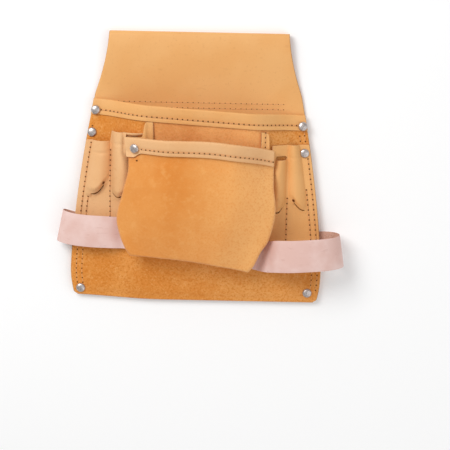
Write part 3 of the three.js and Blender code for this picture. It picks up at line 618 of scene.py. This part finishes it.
# The mouth is straight at the left and drops with the square of x at the right.
def frontMouth(x):
    return front["mouthDown"] + front["mouthDrop"] * (np.maximum(x, 0) / front["half"]) ** 2


# The bottom slopes down to the right and bows with the square of x.
def frontBottom(x):
    return front["bottomDown"] + front["bottomSlope"] * x + front["bottomBow"] * (x / front["half"]) ** 2


# A place on the front pouch: b from 0 at its mouth to 1 at its bottom, a from -1 left to 1 right.
def outlinePoint(a, b, left, right, bottom):
    start = left - front["half"] * readTable(frontOutline, "left", b)
    end = front["half"] * readTable(frontOutline, "right", b) - right
    x = lerp(start, end, (a + 1) / 2)
    return x, lerp(frontMouth(x), frontBottom(x) - bottom, b)


# The fold round the face is pressed flat at the mouth and round where the pouch stands out.
def frontFold(b):
    return lerp(front["fold"], front["roundFold"], readTable(frontOutline, "depth", b))


# The face: its rim stands off the bed by the pleat's depth, and a belly rises over it from the sides, less
# with the fourth power of b toward the bottom.
def frontFace(a, b):
    a, b = np.broadcast_arrays(np.asarray(a, float), np.asarray(b, float))
    fold = frontFold(b)
    x, down = outlinePoint(a, b, fold, fold, fold)
    inward = 1 - np.abs(a)
    belly = lerp(front["mouthBelly"], front["faceBelly"], smooth(b, 0, front["fullFrom"]))
    belly = belly * smooth(inward, *front["bellyRound"]) * (1 - front["bottomFlatter"] * b ** 4)
    folded = bag["pocketLeather"] + 2 * front["fold"] + bag["bellyGap"]
    rim = pocketBed(x, down) + folded + front["depth"] * readTable(frontOutline, "depth", b)
    free = smooth(b, *front["unevenFrom"]) * smooth(inward, *front["unevenIn"])
    return x, down, rim + belly + front["unevenness"] * waves(x, down, *front["waves"]) * free


# Rings of the pleat: the round fold at the face's border, the way in and down, and the stitched flange.
def pleatPoint(a, b, ring):
    x, down, z = frontFace(a, b)
    depth = readTable(frontOutline, "depth", b)
    fold, turn = frontFold(b), ring["turn"]
    side = fold * (1 - np.sin(turn)) + ring["flange"] * front["flange"]
    left, right = (side + ring["pleat"] * front[key] * readTable(frontOutline, key, b)
                   for key in ("leftPleat", "rightPleat"))
    innerX, innerDown = outlinePoint(a, b, left, right, side + ring["pleat"] * front["bottomPleat"])
    raised = smooth(ring["pleat"], front["riseFrom"], 1) * (1 - smooth(b, 0, front["riseTo"]))
    innerDown = innerDown - front["flangeRise"] * raised
    above = z - fold * (1 - np.cos(turn)) - pocketBed(x, down)
    drop = ring["fall"] * depth if ring["flange"] == 0 else np.ones_like(depth)
    return place(innerX, innerDown, pocketBed(innerX, innerDown) + lerp(above, front["flangeRoom"], drop))


# How far round the fold, into the pleat and across the flange a ring is. The pleat falls with a power.
def pleatRing(turn, pleat, flange):
    return {"turn": turn, "pleat": pleat, "fall": pleat ** front["pleatFall"], "flange": flange}


def makeFront():
    size = front
    crowd = math.pi / 2 * size["crowding"]
    a = np.sin(np.linspace(-1, 1, size["across"]) * crowd) / math.sin(crowd)
    b = np.linspace(0, 1, size["down"])
    face = place(*frontFace(a[None, :], b[:, None]))
    rings = [pleatRing(turn, 0.0, 0.0) for turn in np.linspace(0, math.pi, size["foldRings"])]
    rings += [pleatRing(math.pi, part, 0.0) for part in size["pleatRings"]]
    rings += [pleatRing(math.pi, 1.0, part) for part in size["flangeRings"]]
    ringA = np.concatenate([np.full(size["down"] - 1, -1.0), a, np.full(size["down"] - 1, 1.0)])
    ringB = np.concatenate([b[:-1], np.ones(size["across"]), b[:-1][::-1]])
    pleat = np.stack([pleatPoint(ringA, ringB, ring) for ring in rings])
    leather("frontPouch", [face, pleat], bag["pocketLeather"], ["frontSuede", "smooth", "edge"],
            "front_pouch", evenWall=False)


# A place on the front hem: its distance from the mouth, and how far it stands off the pouch's face.
def frontBand(a, distance):
    b = distance / (front["bottomDown"] - front["mouthDown"])
    step = 0.01
    centre = place(*frontFace(a, b))
    outward = unit(np.cross(place(*frontFace(a, b + step)) - centre, place(*frontFace(a + step, b)) - centre))
    return centre + outward * (bag["pocketLeather"] + front["hemRoom"]), centre, outward


# The hem gets deeper at its left end, beside the rivet.
def makeFrontHem():
    a = np.linspace(*front["hemEnds"], front["hemAcross"])
    deeper = front["hemDrop"] * smooth(-a, *front["dropAt"])

    def band(distance):
        return frontBand(a, distance + deeper * (distance / pouch["hemWidth"]) ** 2)

    leather("frontHem", [hemSurface(band)], bag["pocketLeather"], ["pale", "suede", "edge"],
            "front_hem")


# Tool sleeves: distances go outwards from the bag's axis; side is -1 left and 1 right.
# Each tube's slit is a curve through columns share and drop, from its inner to its outer edge.
leftBank = {
    "side": -1, "name": "leftSleeves", "node": "left_sleeves", "end": 199.9, "slitDown": 158.0,
    "seamMargin": 6.5, "bulge": 9.5, "shoulder": 1, "slot": 0.0, "dividerFrom": 9.0, "seamFrom": 109.0,
    "secondFrom": 158.0, "seamInset": 5.8, "hole": (-92.3, 147.4), "face": "pale",
    "tubes": [{"innerTop": 70.04, "inner": 62.93, "outer": 84.04, "top": 95.94, "open": (0.3, 0.94),
               "slit": [(0, -3), (0.25, 0.5), (0.45, 2.4), (0.62, 3.6), (0.72, 3.2), (0.85, 1.2), (1, -1.5)]},
              {"innerTop": 85.46, "inner": 86.48, "outer": 0.0, "top": 106.07, "open": (0.23, 0.72),
               "slit": [(0, -12), (0.23, -8), (0.3, -5), (0.38, -2), (0.46, 0), (0.56, 1.4), (0.66, 1.8),
                        (0.8, 1), (1, -1)]}],
}
rightBank = {
    "side": 1, "name": "rightSleeves", "node": "right_sleeves", "end": 204.9, "slitDown": 171.9,
    "seamMargin": 10.0, "bulge": 5.6, "shoulder": 0, "slot": 119.7, "dividerFrom": 53.0, "seamFrom": 121.0,
    "secondFrom": 152.0, "seamInset": 3.8, "hole": (96.0, 161.7), "face": "smooth",
    "tubes": [{"innerTop": 77.04, "inner": 71.96, "outer": 88.0, "top": 107.0, "open": (0.15, 0.8),
               "slit": [(0, -1), (0.2, 1), (0.4, 2.4), (0.6, 1.6), (0.75, -2), (0.9, -7), (1, -10)]},
              {"innerTop": 89.52, "inner": 90.03, "outer": 0.0, "top": 107.0, "open": (0.3, 0.85),
               "slit": [(0, -12), (0.3, -8.4), (0.38, -6), (0.5, -3), (0.62, -0.8), (0.75, 0.6), (0.9, 0.6),
                        (1, -1)]}],
}


sleeveLook = {
    "edgeShift": (10, 45), "gape": 0.75, "gapeRound": 0.5, "bulgeRound": 0.9, "crease": 0.1,
    "creaseWidth": 1.3, "creaseBelow": 12.0, "slot": 1.6, "slotIn": (0.06, 0.94), "slotRise": 3.0,
    "sink": 0.5, "sinkAbove": 7.0, "sinkBelow": 5.0, "openShare": 0.3,
    "flank": (112, 124), "flankHigh": 0.55, "flankRoom": 1.0,
    "tongue": 9.5, "tongueWide": (97, 100), "tongueHigh": (97.5, 100), "tongueRound": 0.6,
    "mouthRows": 12, "tubeRows": 44, "footRows": 26, "columns": (6, 26, 4, 30, 4),
}


# A tube's two edges: the inner one shifts below its mouth, the outer one keeps off the side seam.
def tubeEdges(bank, tube, down):
    outer = tube["outer"] + 0 * down if tube["outer"] else halfWidth(down) - bank["seamMargin"]
    shift = smooth(down, *(tube["top"] + part for part in sleeveLook["edgeShift"]))
    return lerp(tube["innerTop"], tube["inner"], shift), outer


# How far out the front pouch's side lies on the bed: its outline less a share of the side pleat.
def pouchSide(side, down, share):
    b = clamp((down - front["mouthDown"]) / (front["bottomDown"] - front["mouthDown"]))
    column, pleat = ("left", "leftPleat") if side < 0 else ("right", "rightPleat")
    width = front[pleat] * readTable(frontOutline, pleat, b)
    return front["half"] * readTable(frontOutline, column, b) - share * width


# The slit's distance down: its table's drop at a share of the tube's width, read along straight lines.
def slitLine(bank, tube, share):
    shares, drops = zip(*tube["slit"])
    return bank["slitDown"] + np.interp(share, shares, drops)


# A pressed crease: a bell curve round its line.
def creaseAt(down, line):
    return sleeveLook["crease"] * np.exp(-((down - line) / sleeveLook["creaseWidth"]) ** 2)


# The columns go over five spans: the flank beside the pouch, inner tube, divider, outer tube and side seam.
def makeSleeves(bank):
    size = sleeveLook
    inner, outer = bank["tubes"]
    spanCount = len(size["columns"])
    column = np.concatenate([number + np.arange(count) / count
                             for number, count in enumerate(size["columns"])] + [[spanCount]])
    span = np.minimum(column.astype(int), spanCount - 1)
    within = column - span
    between = lerp(inner["top"], outer["top"], within)
    top = np.where(span < 2, inner["top"], np.where(span > 2, outer["top"], between))
    line = np.select([span == 1, span == 3, span == 2], [
        slitLine(bank, inner, within), slitLine(bank, outer, within),
        lerp(slitLine(bank, inner, 1), slitLine(bank, outer, 0), within)],
        np.where(span < 2, slitLine(bank, inner, 0), slitLine(bank, outer, 1)))
    gape = np.zeros_like(within)
    for number, tube in ((1, inner), (3, outer)):
        start, end = tube["open"]
        reach = clamp((within - start) / (end - start))
        gape = np.where(span == number, size["gape"] * np.sin(math.pi * reach) ** size["gapeRound"], gape)

    # A sheet of the sleeves: each tube rises along a sine across its span, by raised times the bulge.
    def grid(down, raised):
        innerEdge = pouchSide(bank["side"], down, 0.5)
        flank = bank["shoulder"] * (1 - smooth(down, *size["flank"]))
        pouchTop = front["half"] * frontOutline["left"][0] + size["flankRoom"]
        start = np.maximum(lerp(tubeEdges(bank, inner, down)[0], pouchTop, flank), innerEdge + 0.5)
        if bank["side"] < 0:
            innerEdge = innerEdge - size["tongue"] * (1 - smooth(down, *size["tongueWide"]))
        stops = np.stack([innerEdge, start, tubeEdges(bank, inner, down)[1], *tubeEdges(bank, outer, down),
                          halfWidth(down) - bag["gap"]])
        spans = np.broadcast_to(span, down.shape)
        start = np.take_along_axis(stops, spans[None], 0)[0]
        end = np.take_along_axis(stops, spans[None] + 1, 0)[0]
        inSpan = np.where(spans == 0, 1 - (1 - within) ** 3, within)
        x = bank["side"] * lerp(start, end, inSpan)
        bulge = bank["bulge"] * ((spans == 1) | (spans == 3))
        dome = np.sin(math.pi * within) ** size["bulgeRound"]
        beside = flank * (spans == 1) * (within < 0.5)
        tongue = bank["shoulder"] * (spans == 0) * (1 - smooth(down, *size["tongueHigh"]))
        tongue = tongue * smooth(inSpan, 0, size["tongueRound"]) * size["flankHigh"] * bank["bulge"]
        height = bulge * lerp(dome, np.maximum(dome, size["flankHigh"]), beside) * raised + tongue
        surface = place(x, down, pocketBed(x, down) + height)
        return surface if bank["side"] > 0 else surface[:, ::-1]

    sheets = []
    if bank["slot"]:
        slotted = (span == 1) & (within > size["slotIn"][0]) & (within < size["slotIn"][1])
        mouth = np.where(slotted, size["slot"], 0.0)
        above = lerp(top, bank["slot"] - mouth, np.linspace(0, 1, size["mouthRows"])[:, None])
        raised = np.where(span == 1, 0.0, 1.0) - creaseAt(above, bank["slot"])
        rising = smooth(above, bank["slot"] - size["slotRise"], bank["slot"])
        sheets.append(grid(above, np.where((span == 1) & ~slotted, rising, raised)))
        top = bank["slot"] + mouth
    upper = lerp(top, line - gape, np.linspace(0, 1, size["tubeRows"])[:, None])
    crease = creaseAt(upper, bank["slot"] or top + size["creaseBelow"])
    sheets.append(grid(upper, 1 - size["sink"] * smooth(upper, line - size["sinkAbove"], line) - crease))
    lower = lerp(line + gape, bank["end"], np.linspace(0, 1, size["footRows"])[:, None])
    fall = size["sink"] * (1 - smooth(lower, line, line + size["sinkBelow"]))
    sheets.append(grid(lower, fall * np.where(gape > 0.05, size["openShare"], 1)))
    leather(bank["name"], sheets, bag["pocketLeather"], [bank["face"], "suede", "edge"],
            bank["node"])


tabMiddle = bag["headHeight"] + bag["gap"] + bag["strap"] / 2


# Side loops: a strap carried along stations, in columns out, drop, onBed, onBack, rise and lean.
# out is 0 beside the front pouch's pleat and 1 where the strap stands furthest out.
leftLoop = {"side": -1, "name": "leftLoop", "node": "left_loop", "down": 197.5, "rise": 25.6, "tuck": 8.7,
            "reach": 9.8}
leftLoop["stations"] = np.array([
    (0, 0, 1, 0, 0.008, 0.05), (0.11, -0.016, 1, 0, 0.031, 0.02), (0.254, -0.034, 0.5, 0, 0.566, 0),
    (0.457, -0.059, 0, 0, 1, 0), (0.66, -0.081, 0, 0, 0.977, 0), (0.833, -0.116, 0, 0, 0.883, 0.1),
    (0.957, -0.159, 0, 0, 0.684, 0.18), (1, -0.18, 0, 0, 0.449, 0.2), (0.957, -0.14, 0, 0, 0.219, 0.18),
    (0.862, -0.07, 0, 0, 0.113, 0.12), (0.717, -0.01, 0, 1, 0, 0.06), (0.457, 0, 0, 1, 0, 0.02),
    (0.167, 0.063, 0, 1, 0, 0),
])
rightLoop = {"side": 1, "name": "rightLoop", "node": "right_loop", "down": 213.5, "rise": 48.5, "tuck": 8.2,
             "reach": 18.2}
rightLoop["stations"] = np.array([
    (0, 0.02, 1, 0, 0.008, -0.3), (0.11, 0.11, 1, 0, 0.025, -0.2), (0.194, 0.085, 0.5, 0, 0.433, -0.1),
    (0.29, 0.01, 0, 0, 0.845, 0), (0.445, -0.035, 0, 0, 0.969, 0), (0.626, -0.078, 0, 0, 1, 0),
    (0.794, -0.1, 0, 0, 0.938, 0.03), (0.923, -0.113, 0, 0, 0.794, 0.11), (0.992, -0.119, 0, 0, 0.598, 0.16),
    (1, -0.116, 0, 0, 0.402, 0.15), (0.948, -0.103, 0, 0, 0.216, 0.08), (0.852, -0.084, 0, 0, 0.08, 0.05),
    (0.716, -0.069, 0, 1, 0, 0.02), (0.445, -0.047, 0, 1, 0, 0), (0.161, -0.028, 0, 1, 0, 0),
])


# A smooth curve through the stations' rows.
def alongStations(stations, along):
    last = len(stations) - 1
    position = np.asarray(along, float) * last
    first = np.minimum(position.astype(int), last - 1)
    before, start = stations[np.maximum(first - 1, 0)], stations[first]
    end, after = stations[first + 1], stations[np.minimum(first + 2, last)]
    return bend(start, end, (end - before) / 2, (after - start) / 2, (position - first)[..., None])


# A place on a loop: the station's point, half a strap's width to either side of it along the leaning edge.
# Where the strap is free it cups, by the square of the distance from its middle.
loopSize = {"cup": 0.5, "rowsEach": 10, "edgeShares": (0, 0.012, 0.03), "innerShares": (0.06, 0.94, 13)}


def loopPoint(loop, along, across):
    along, across = np.broadcast_arrays(np.asarray(along, float), np.asarray(across, float))
    out, drop, onBed, onBack, rising, lean = np.moveaxis(alongStations(loop["stations"], along), -1, 0)
    edge = np.stack([loop["side"] * lean, np.ones_like(lean)])
    edge = edge / np.linalg.norm(edge, axis=0) * (across - 0.5) * bag["strapWidth"]
    start = pouchSide(loop["side"], loop["down"], 1) - front["fold"] + loop["tuck"]
    x = loop["side"] * lerp(start, bag["fullHalf"] + loop["reach"], out) + edge[0]
    down = loop["down"] + bag["strapWidth"] * drop + edge[1]
    z = onBed * strapBed(x, down) + onBack * tabMiddle + rising * loop["rise"]
    cup = loopSize["cup"] * (1 - onBed) * (1 - onBack) * (2 * across - 1) ** 2
    return place(x, down, z - cup)


def makeLoop(loop):
    along = np.linspace(0, 1, (len(loop["stations"]) - 1) * loopSize["rowsEach"] + 1)[None, :]
    edge = np.array(loopSize["edgeShares"])
    across = np.concatenate([edge, np.linspace(*loopSize["innerShares"]), 1 - edge[::-1]])[:, None]
    surface = loopPoint(loop, along, across)
    if loop["side"] < 0:
        surface = surface[:, ::-1]
    leather(loop["name"], [surface], bag["strap"], ["strap", "strapFlesh", "strapEdge"],
            loop["node"])


# Rivets: each CAD rivet's cap gives its place and direction, and a finer one is turned on the same axis.
# The profile runs in from the cap's crown over its rolled rim to the shank, in columns radius and height.
rivetSize = {
    "capRadius": 4.5, "capHeight": 1.9, "shank": 1.8, "headRadius": 3.4, "headHeight": 0.9, "around": 48,
    "domeSteps": 12, "pole": 0.02, "onAxis": 0.3,
    "moved": {"rivet_loop_right_front": (-6.5, -1.5, 1.4), "rivet_bottom_left": (-3.0, 1.0, 0.0),
              "rivet_sleeve_right": (-1.8, 0.4, 0.0)},
}


# Carries a profile round an axis: radius times the turning direction, plus height along the axis.
def turned(profile, centre, axis, around):
    axis = unit(axis)
    side = unit(np.cross(axis, (0, 1, 0) if abs(axis[1]) < 0.9 else (1, 0, 0)))
    other = np.cross(axis, side)
    angle = np.linspace(0, 2 * math.pi, around, endpoint=False)
    ring = np.cos(angle)[:, None] * side + np.sin(angle)[:, None] * other
    profile = np.asarray(profile, float)
    return centre + profile[:, None, :1] * ring[None] + profile[:, None, 1:] * axis


# Faces of a tube whose rows close on themselves.
def wrapFaces(rows, around, start=0):
    index = np.arange(rows * around).reshape(rows, around) + start
    after = np.roll(index, -1, axis=1)
    return np.stack([index[:-1], index[1:], after[1:], after[:-1]], axis=-1).reshape(-1, 4)


# The domed cap: an ellipse from the crown outwards, then the rolled rim, in shares of radius and height.
def domeProfile():
    radius, height = rivetSize["capRadius"], rivetSize["capHeight"]
    angle = np.linspace(rivetSize["pole"], math.pi / 2, rivetSize["domeSteps"])
    dome = [(0.93 * math.sin(t), 0.3 + 0.7 * math.cos(t)) for t in angle]
    rim = [(0.965, 0.24), (0.995, 0.2), (1, 0.1), (0.97, 0.0)]
    return [(radius * out, height * up) for out, up in dome + rim]


# The flat head of the rivets behind the body, with a small bevel.
def flatProfile():
    radius, height = rivetSize["headRadius"], rivetSize["headHeight"]
    return [(rivetSize["pole"], height), (radius * 0.9, height), (radius, height * 0.7), (radius, 0.0)]


# The shank and the flat head at its end, down to the rivet's foot.
def footProfile(foot):
    radius, shank, neck = rivetSize["headRadius"], rivetSize["shank"], foot + rivetSize["headHeight"]
    return [(shank, -0.01), (shank, neck), (radius * 0.97, neck), (radius, neck - 0.15), (radius, foot + 0.2),
            (radius * 0.94, foot + 0.03), (rivetSize["pole"], foot)]


# The axis goes through the two points of the CAD rivet that lie on it, its crown and its foot.
def makeRivet(name):
    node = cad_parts[name]
    points = np.empty(len(node.data.vertices) * 3)
    node.data.vertices.foreach_get("co", points)
    points = points.reshape(-1, 3) / mm
    centre = points.mean(axis=0)
    spread = np.linalg.svd(points - centre)[2]
    upright = spread[np.argmax(np.abs(spread[:, 2]))]
    axis = upright * np.sign(upright[2])
    along = (points - centre) @ axis
    beside = np.linalg.norm((points - centre) - along[:, None] * axis, axis=1)
    onAxis = points[beside < rivetSize["onAxis"]]
    crown, foot = onAxis[np.argmax(onAxis @ axis)], onAxis[np.argmin(onAxis @ axis)]
    length = np.linalg.norm(crown - foot)
    axis = (crown - foot) / length
    flat = "back" in name
    capHeight = rivetSize["headHeight"] if flat else rivetSize["capHeight"]
    profile = (flatProfile() if flat else domeProfile()) + footProfile(capHeight - length)
    crown = crown + np.array(rivetSize["moved"].get(name, (0, 0, 0)))
    grid = turned(profile, crown - axis * capHeight, axis, rivetSize["around"])
    return grid.reshape(-1, 3), wrapFaces(len(profile), rivetSize["around"])


def makeRivets():
    for name in sorted(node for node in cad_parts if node.startswith("rivet_")):
        points, faces = makeRivet(name)
        first, *others = name.split("_")
        pieceName = first + "".join(word.capitalize() for word in others)
        piece = meshObject(pieceName, points, faces, ["nickel"])
        reshape(piece, closeHoles)
        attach(piece, "root")
        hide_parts(name)
    print("rivets made")


# Stitches: a row of holes along a seam, and a short thread sunk between each pair of them.
# A row is a curve on a leather's outer face, given by x and down, with the height field of its middle.
stitchSize = {
    "threadRadius": 0.34, "around": 8, "along": 7, "threadEnds": (0.06, 0.94), "arch": 1.25, "archRound": 0.6,
    "sunk": 1.15, "thinEnd": 0.55, "thinRound": 0.5,
    "holeRadius": 0.72, "holeAround": 12, "holeRings": ((0.05, 0.07), (0.6, 0.06), (1.0, 0.0), (0.6, -0.3),
                                                        (0.05, -0.32)),
}


# A point of a leather's outer face: half its wall off the height field, along the normal of its slopes.
def outerFace(height, wall):
    def point(x, down):
        across, along = slopes(height, x, down, 0.3)
        normal = unit(np.stack([-across, along, np.ones_like(across)], axis=-1))
        return place(x, down, height(x, down)) + normal * wall / 2, normal
    return point


# Places at even distances along a curve of points, with their normals.
def spaced(points, normals, pitch):
    step = np.linalg.norm(np.diff(points, axis=0), axis=1)
    length = np.concatenate([[0], np.cumsum(step)])
    count = max(int(round(length[-1] / pitch)), 1)
    at = np.linspace(0, length[-1], count + 1)
    placed = np.stack([np.interp(at, length, points[:, axis]) for axis in range(3)], axis=-1)
    facing = np.stack([np.interp(at, length, normals[:, axis]) for axis in range(3)], axis=-1)
    return placed, unit(facing)


seams = []


def sew(points, normals, pitch, holeRadius=stitchSize["holeRadius"]):
    seams.append((spaced(points, normals, pitch), holeRadius))


# One thread from each hole to the next, arched a little above the leather by the power of a sine.
def threadTubes(points, normals):
    size = stitchSize
    start, end = points[:-1], points[1:]
    normal = (normals[:-1] + normals[1:]) / 2
    forward = end - start
    side = unit(np.cross(normal, forward))
    t = np.linspace(0, 1, size["along"])
    hump = np.sin(math.pi * t)
    centre = start[:, None] + forward[:, None] * lerp(*size["threadEnds"], t)[None, :, None]
    lift = size["threadRadius"] * (size["arch"] * hump ** size["archRound"] - size["sunk"])
    centre = centre + normal[:, None] * lift[None, :, None]
    radius = size["threadRadius"] * lerp(size["thinEnd"], 1, hump ** size["thinRound"])
    angle = np.linspace(0, 2 * math.pi, size["around"], endpoint=False)[None, None, :, None]
    ring = np.cos(angle) * side[:, None, None] + np.sin(angle) * normal[:, None, None]
    return centre[:, :, None] + ring * radius[None, :, None, None]


# A painted shadow at each hole: a dark shallow lens lying in the face stands for the shade in its pit.
def holeShadeLenses(points, normals, radius):
    side = unit(np.cross(normals, (0.0, 1.0, 0.0)))
    other = np.cross(normals, side)
    angle = np.linspace(0, 2 * math.pi, stitchSize["holeAround"], endpoint=False)[None, :, None]
    ring = np.cos(angle) * side[:, None] + np.sin(angle) * other[:, None]
    return np.stack([points[:, None] + ring * radius * out + normals[:, None] * up
                     for out, up in stitchSize["holeRings"]], axis=1)


# One piece out of many small closed tubes.
def tubesObject(name, grids, material):
    grid = np.concatenate([part.reshape(-1, *part.shape[-3:]) for part in grids])
    count, rows, around = grid.shape[:3]
    faces = np.concatenate([wrapFaces(rows, around, item * rows * around) for item in range(count)])
    piece = meshObject(name, grid, faces, [material])
    reshape(piece, closeHoles)
    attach(piece, "root")


# The middle of a tube's leather just above its slit.
def tubeHeight(bank, tube, x, down):
    size = sleeveLook
    start, end = tubeEdges(bank, tube, down)
    within = clamp((np.abs(x) - start) / (end - start))
    lift = 1 - size["sink"] * smooth(down - slitLine(bank, tube, within), -size["sinkAbove"], 0)
    return pocketBed(x, down) + bank["bulge"] * np.sin(math.pi * within) ** size["bulgeRound"] * lift


# Where the rows run and how far apart their holes are. Insets count inwards from the bag's side.
seamSize = {
    "tunnelRows": (68.5, 73.7), "tunnelInset": 4.0, "tunnelPitch": 5.2, "tunnelHole": 0.5,
    "hemPitch": 4.9, "hemSunk": 0.3, "mainHemEnds": (-0.955, 0.95), "frontHemEnds": (-0.8, 0.985),
    "pitch": 5.0, "secondIn": 5.4, "pouchSecondIn": 5.6, "sleeveEnd": 2.5, "pouchStart": 3.0,
    "pouchEnd": 12.0, "topInset": 3.8, "topFrom": 21.0, "topTo": 3.0,
    "flangePitch": 4.6, "flangeEnd": 0.12, "flangeIn": 0.5,
    "dividerPitch": 5.1, "dividerEnd": 3.0, "extraRow": (99.0, 104.0), "extraInset": 8.8,
    "slitHole": 1.5, "cornerHole": 0.9, "cornerAt": (-0.9, 23.6),
}


def sewSeams():
    size = seamSize
    openHoles = []
    bodyTop = outerFace(mainMiddle, bag["leather"])
    panelTop = outerFace(lambda x, down: panelMiddle(down) + 0 * x, bag["leather"])
    bedTop = outerFace(pocketBed, bag["pocketLeather"])
    hemDrop = pouch["hemWidth"] - pouch["hemStitch"]

    def sideRow(top, side, start, end, inset, count=200):
        down = np.linspace(start, end, count)
        sew(*top(side * (halfWidth(down) - inset), down), size["pitch"])

    for down in size["tunnelRows"]:
        x = np.linspace(-1, 1, 300) * (bag["topHalf"] - size["tunnelInset"])
        sew(*panelTop(x, down + 0 * x), size["tunnelPitch"], size["tunnelHole"])
    share = np.linspace(*size["mainHemEnds"], 400)
    down = mainMouth(share * halfWidth(pouch["mouthDown"])) + hemDrop
    points, normals = bedTop(share * halfWidth(down), down)
    sew(points - normals * size["hemSunk"], normals, size["hemPitch"])
    points, _, normals = frontBand(np.linspace(*size["frontHemEnds"], 300), hemDrop)
    sew(points + normals * (bag["pocketLeather"] / 2 - size["hemSunk"]), normals, size["hemPitch"])
    for bank in (leftBank, rightBank):
        side, inset, (inner, outer) = bank["side"], bank["seamInset"], bank["tubes"]
        sleeveEnd = bank["end"] - size["sleeveEnd"]
        pouchRow = (bank["end"] + size["pouchStart"], bag["length"] - size["pouchEnd"])
        topRow = (pouch["mouthDown"] + size["topFrom"], outer["top"] - size["topTo"])
        sideRow(bedTop, side, bank["seamFrom"], sleeveEnd, inset)
        sideRow(bedTop, side, bank["secondFrom"], sleeveEnd, inset + size["secondIn"], 120)
        sideRow(bodyTop, side, *pouchRow, inset)
        sideRow(bodyTop, side, *pouchRow, inset + size["pouchSecondIn"])
        sideRow(bodyTop, side, *topRow, size["topInset"], 60)
        if side > 0:
            b = np.linspace(0, size["flangeEnd"], 30)
            flange = pleatPoint(0 * b + side, b, pleatRing(math.pi, 1.0, size["flangeIn"]))
            upward = outerFace(pocketBed, 0)(flange[:, 0], bag["centreDown"] - flange[:, 1])[1]
            sew(flange + upward * bag["pocketLeather"] / 2, upward, size["flangePitch"])
        down = np.linspace(outer["top"] + bank["dividerFrom"], bank["end"] - size["dividerEnd"], 200)
        between = (tubeEdges(bank, inner, down)[1] + tubeEdges(bank, outer, down)[0]) / 2
        sew(*bedTop(side * between, down), size["dividerPitch"])
        onTube = outerFace(lambda x, down: tubeHeight(bank, outer, x, down), bag["pocketLeather"])
        openHoles.append((*onTube(*(np.array([value]) for value in bank["hole"])), size["slitHole"]))
    down = np.array(size["extraRow"])
    sew(*bodyTop(halfWidth(down) - size["extraInset"], down), size["pitch"])
    a, distance = size["cornerAt"]
    _, corner, upward = frontBand(np.array([a]), distance)
    openHoles.append((corner + upward * bag["pocketLeather"] / 2, upward, size["cornerHole"]))
    threads = [threadTubes(*seam) for seam, _ in seams]
    holes = [holeShadeLenses(*seam, radius) for seam, radius in seams]
    holes += [holeShadeLenses(*spot) for spot in openHoles]
    tubesObject("stitchThread", threads, "thread")
    tubesObject("stitchHoles", holes, "hole")
    print("seams sewn:", len(seams))


makeBack()
makeMain()
makeMainHem()
makeFront()
makeFrontHem()
makeSleeves(leftBank)
makeSleeves(rightBank)
makeLoop(leftLoop)
makeLoop(rightLoop)
makeRivets()
sewSeams()


# Studio: a pale floor, soft light from the upper left, and the camera at the photo's angle.
studio = {
    "reference": (28.5, -154.2, 4.5), "distance": 1300.0, "tilt": 11.0, "roll": -1.2, "lens": 104.0,
    "sensor": 36, "clipEnd": 20,
    "sky": 0.5, "floor": colour(250, 250, 250), "floorGlow": 0.055, "floorHalf": 4000, "floorDown": -0.2,
    "aim": (0, -100, 20),
    "lights": [{"name": "key", "place": (-620, 640, 1150), "power": 12.5, "size": 0.7},
               {"name": "fill", "place": (700, -500, 900), "power": 3.0, "size": 1.2}],
}


def makeStudio():
    scene = bpy.context.scene
    scene.view_settings.view_transform = "Standard"
    paint = Paint("floor")
    looks["floor"] = paint.finish({
        "Base Color": studio["floor"], "Roughness": 0.9, "Specular IOR Level": 0.1,
        "Emission Color": colour(255, 255, 255), "Emission Strength": studio["floorGlow"]})
    half, down = studio["floorHalf"], studio["floorDown"]
    corners = np.array([(x, y, down) for y in (half, -half) for x in (-half, half)], float)
    floor = meshObject("floor", corners, gridFaces(2, 2)[:, ::-1].copy(), ["floor"])
    world = bpy.data.worlds.new("studio")
    world.use_nodes = True
    world.node_tree.nodes["Background"].inputs["Color"].default_value = (1, 1, 1, 1)
    world.node_tree.nodes["Background"].inputs["Strength"].default_value = studio["sky"]
    scene.world = world
    for lamp in studio["lights"]:
        light = bpy.data.lights.new(lamp["name"], "AREA")
        light.energy = lamp["power"]
        light.size = lamp["size"]
        stand = bpy.data.objects.new(lamp["name"], light)
        stand.location = Vector(lamp["place"]) * mm
        aim = Vector(studio["aim"]) * mm - stand.location
        stand.rotation_euler = aim.to_track_quat("-Z", "Y").to_euler()
        scene.collection.objects.link(stand)
    tilt, roll = math.radians(studio["tilt"]), math.radians(studio["roll"])
    back = Vector((0, math.sin(tilt), math.cos(tilt)))
    upward = Vector((0, math.cos(tilt), -math.sin(tilt)))
    across = Vector((1, 0, 0))
    right = across * math.cos(roll) - upward * math.sin(roll)
    up = across * math.sin(roll) + upward * math.cos(roll)
    lens = bpy.data.cameras.new("camera")
    lens.lens = studio["lens"]
    lens.sensor_width = studio["sensor"]
    lens.clip_end = studio["clipEnd"]
    camera = bpy.data.objects.new("camera", lens)
    spot = (Vector(studio["reference"]) + back * studio["distance"]) * mm
    camera.matrix_world = Matrix(((right.x, up.x, back.x, spot.x), (right.y, up.y, back.y, spot.y),
                                  (right.z, up.z, back.z, spot.z), (0, 0, 0, 1)))
    scene.collection.objects.link(camera)
    scene.camera = camera
    print("studio ready")


makeStudio()
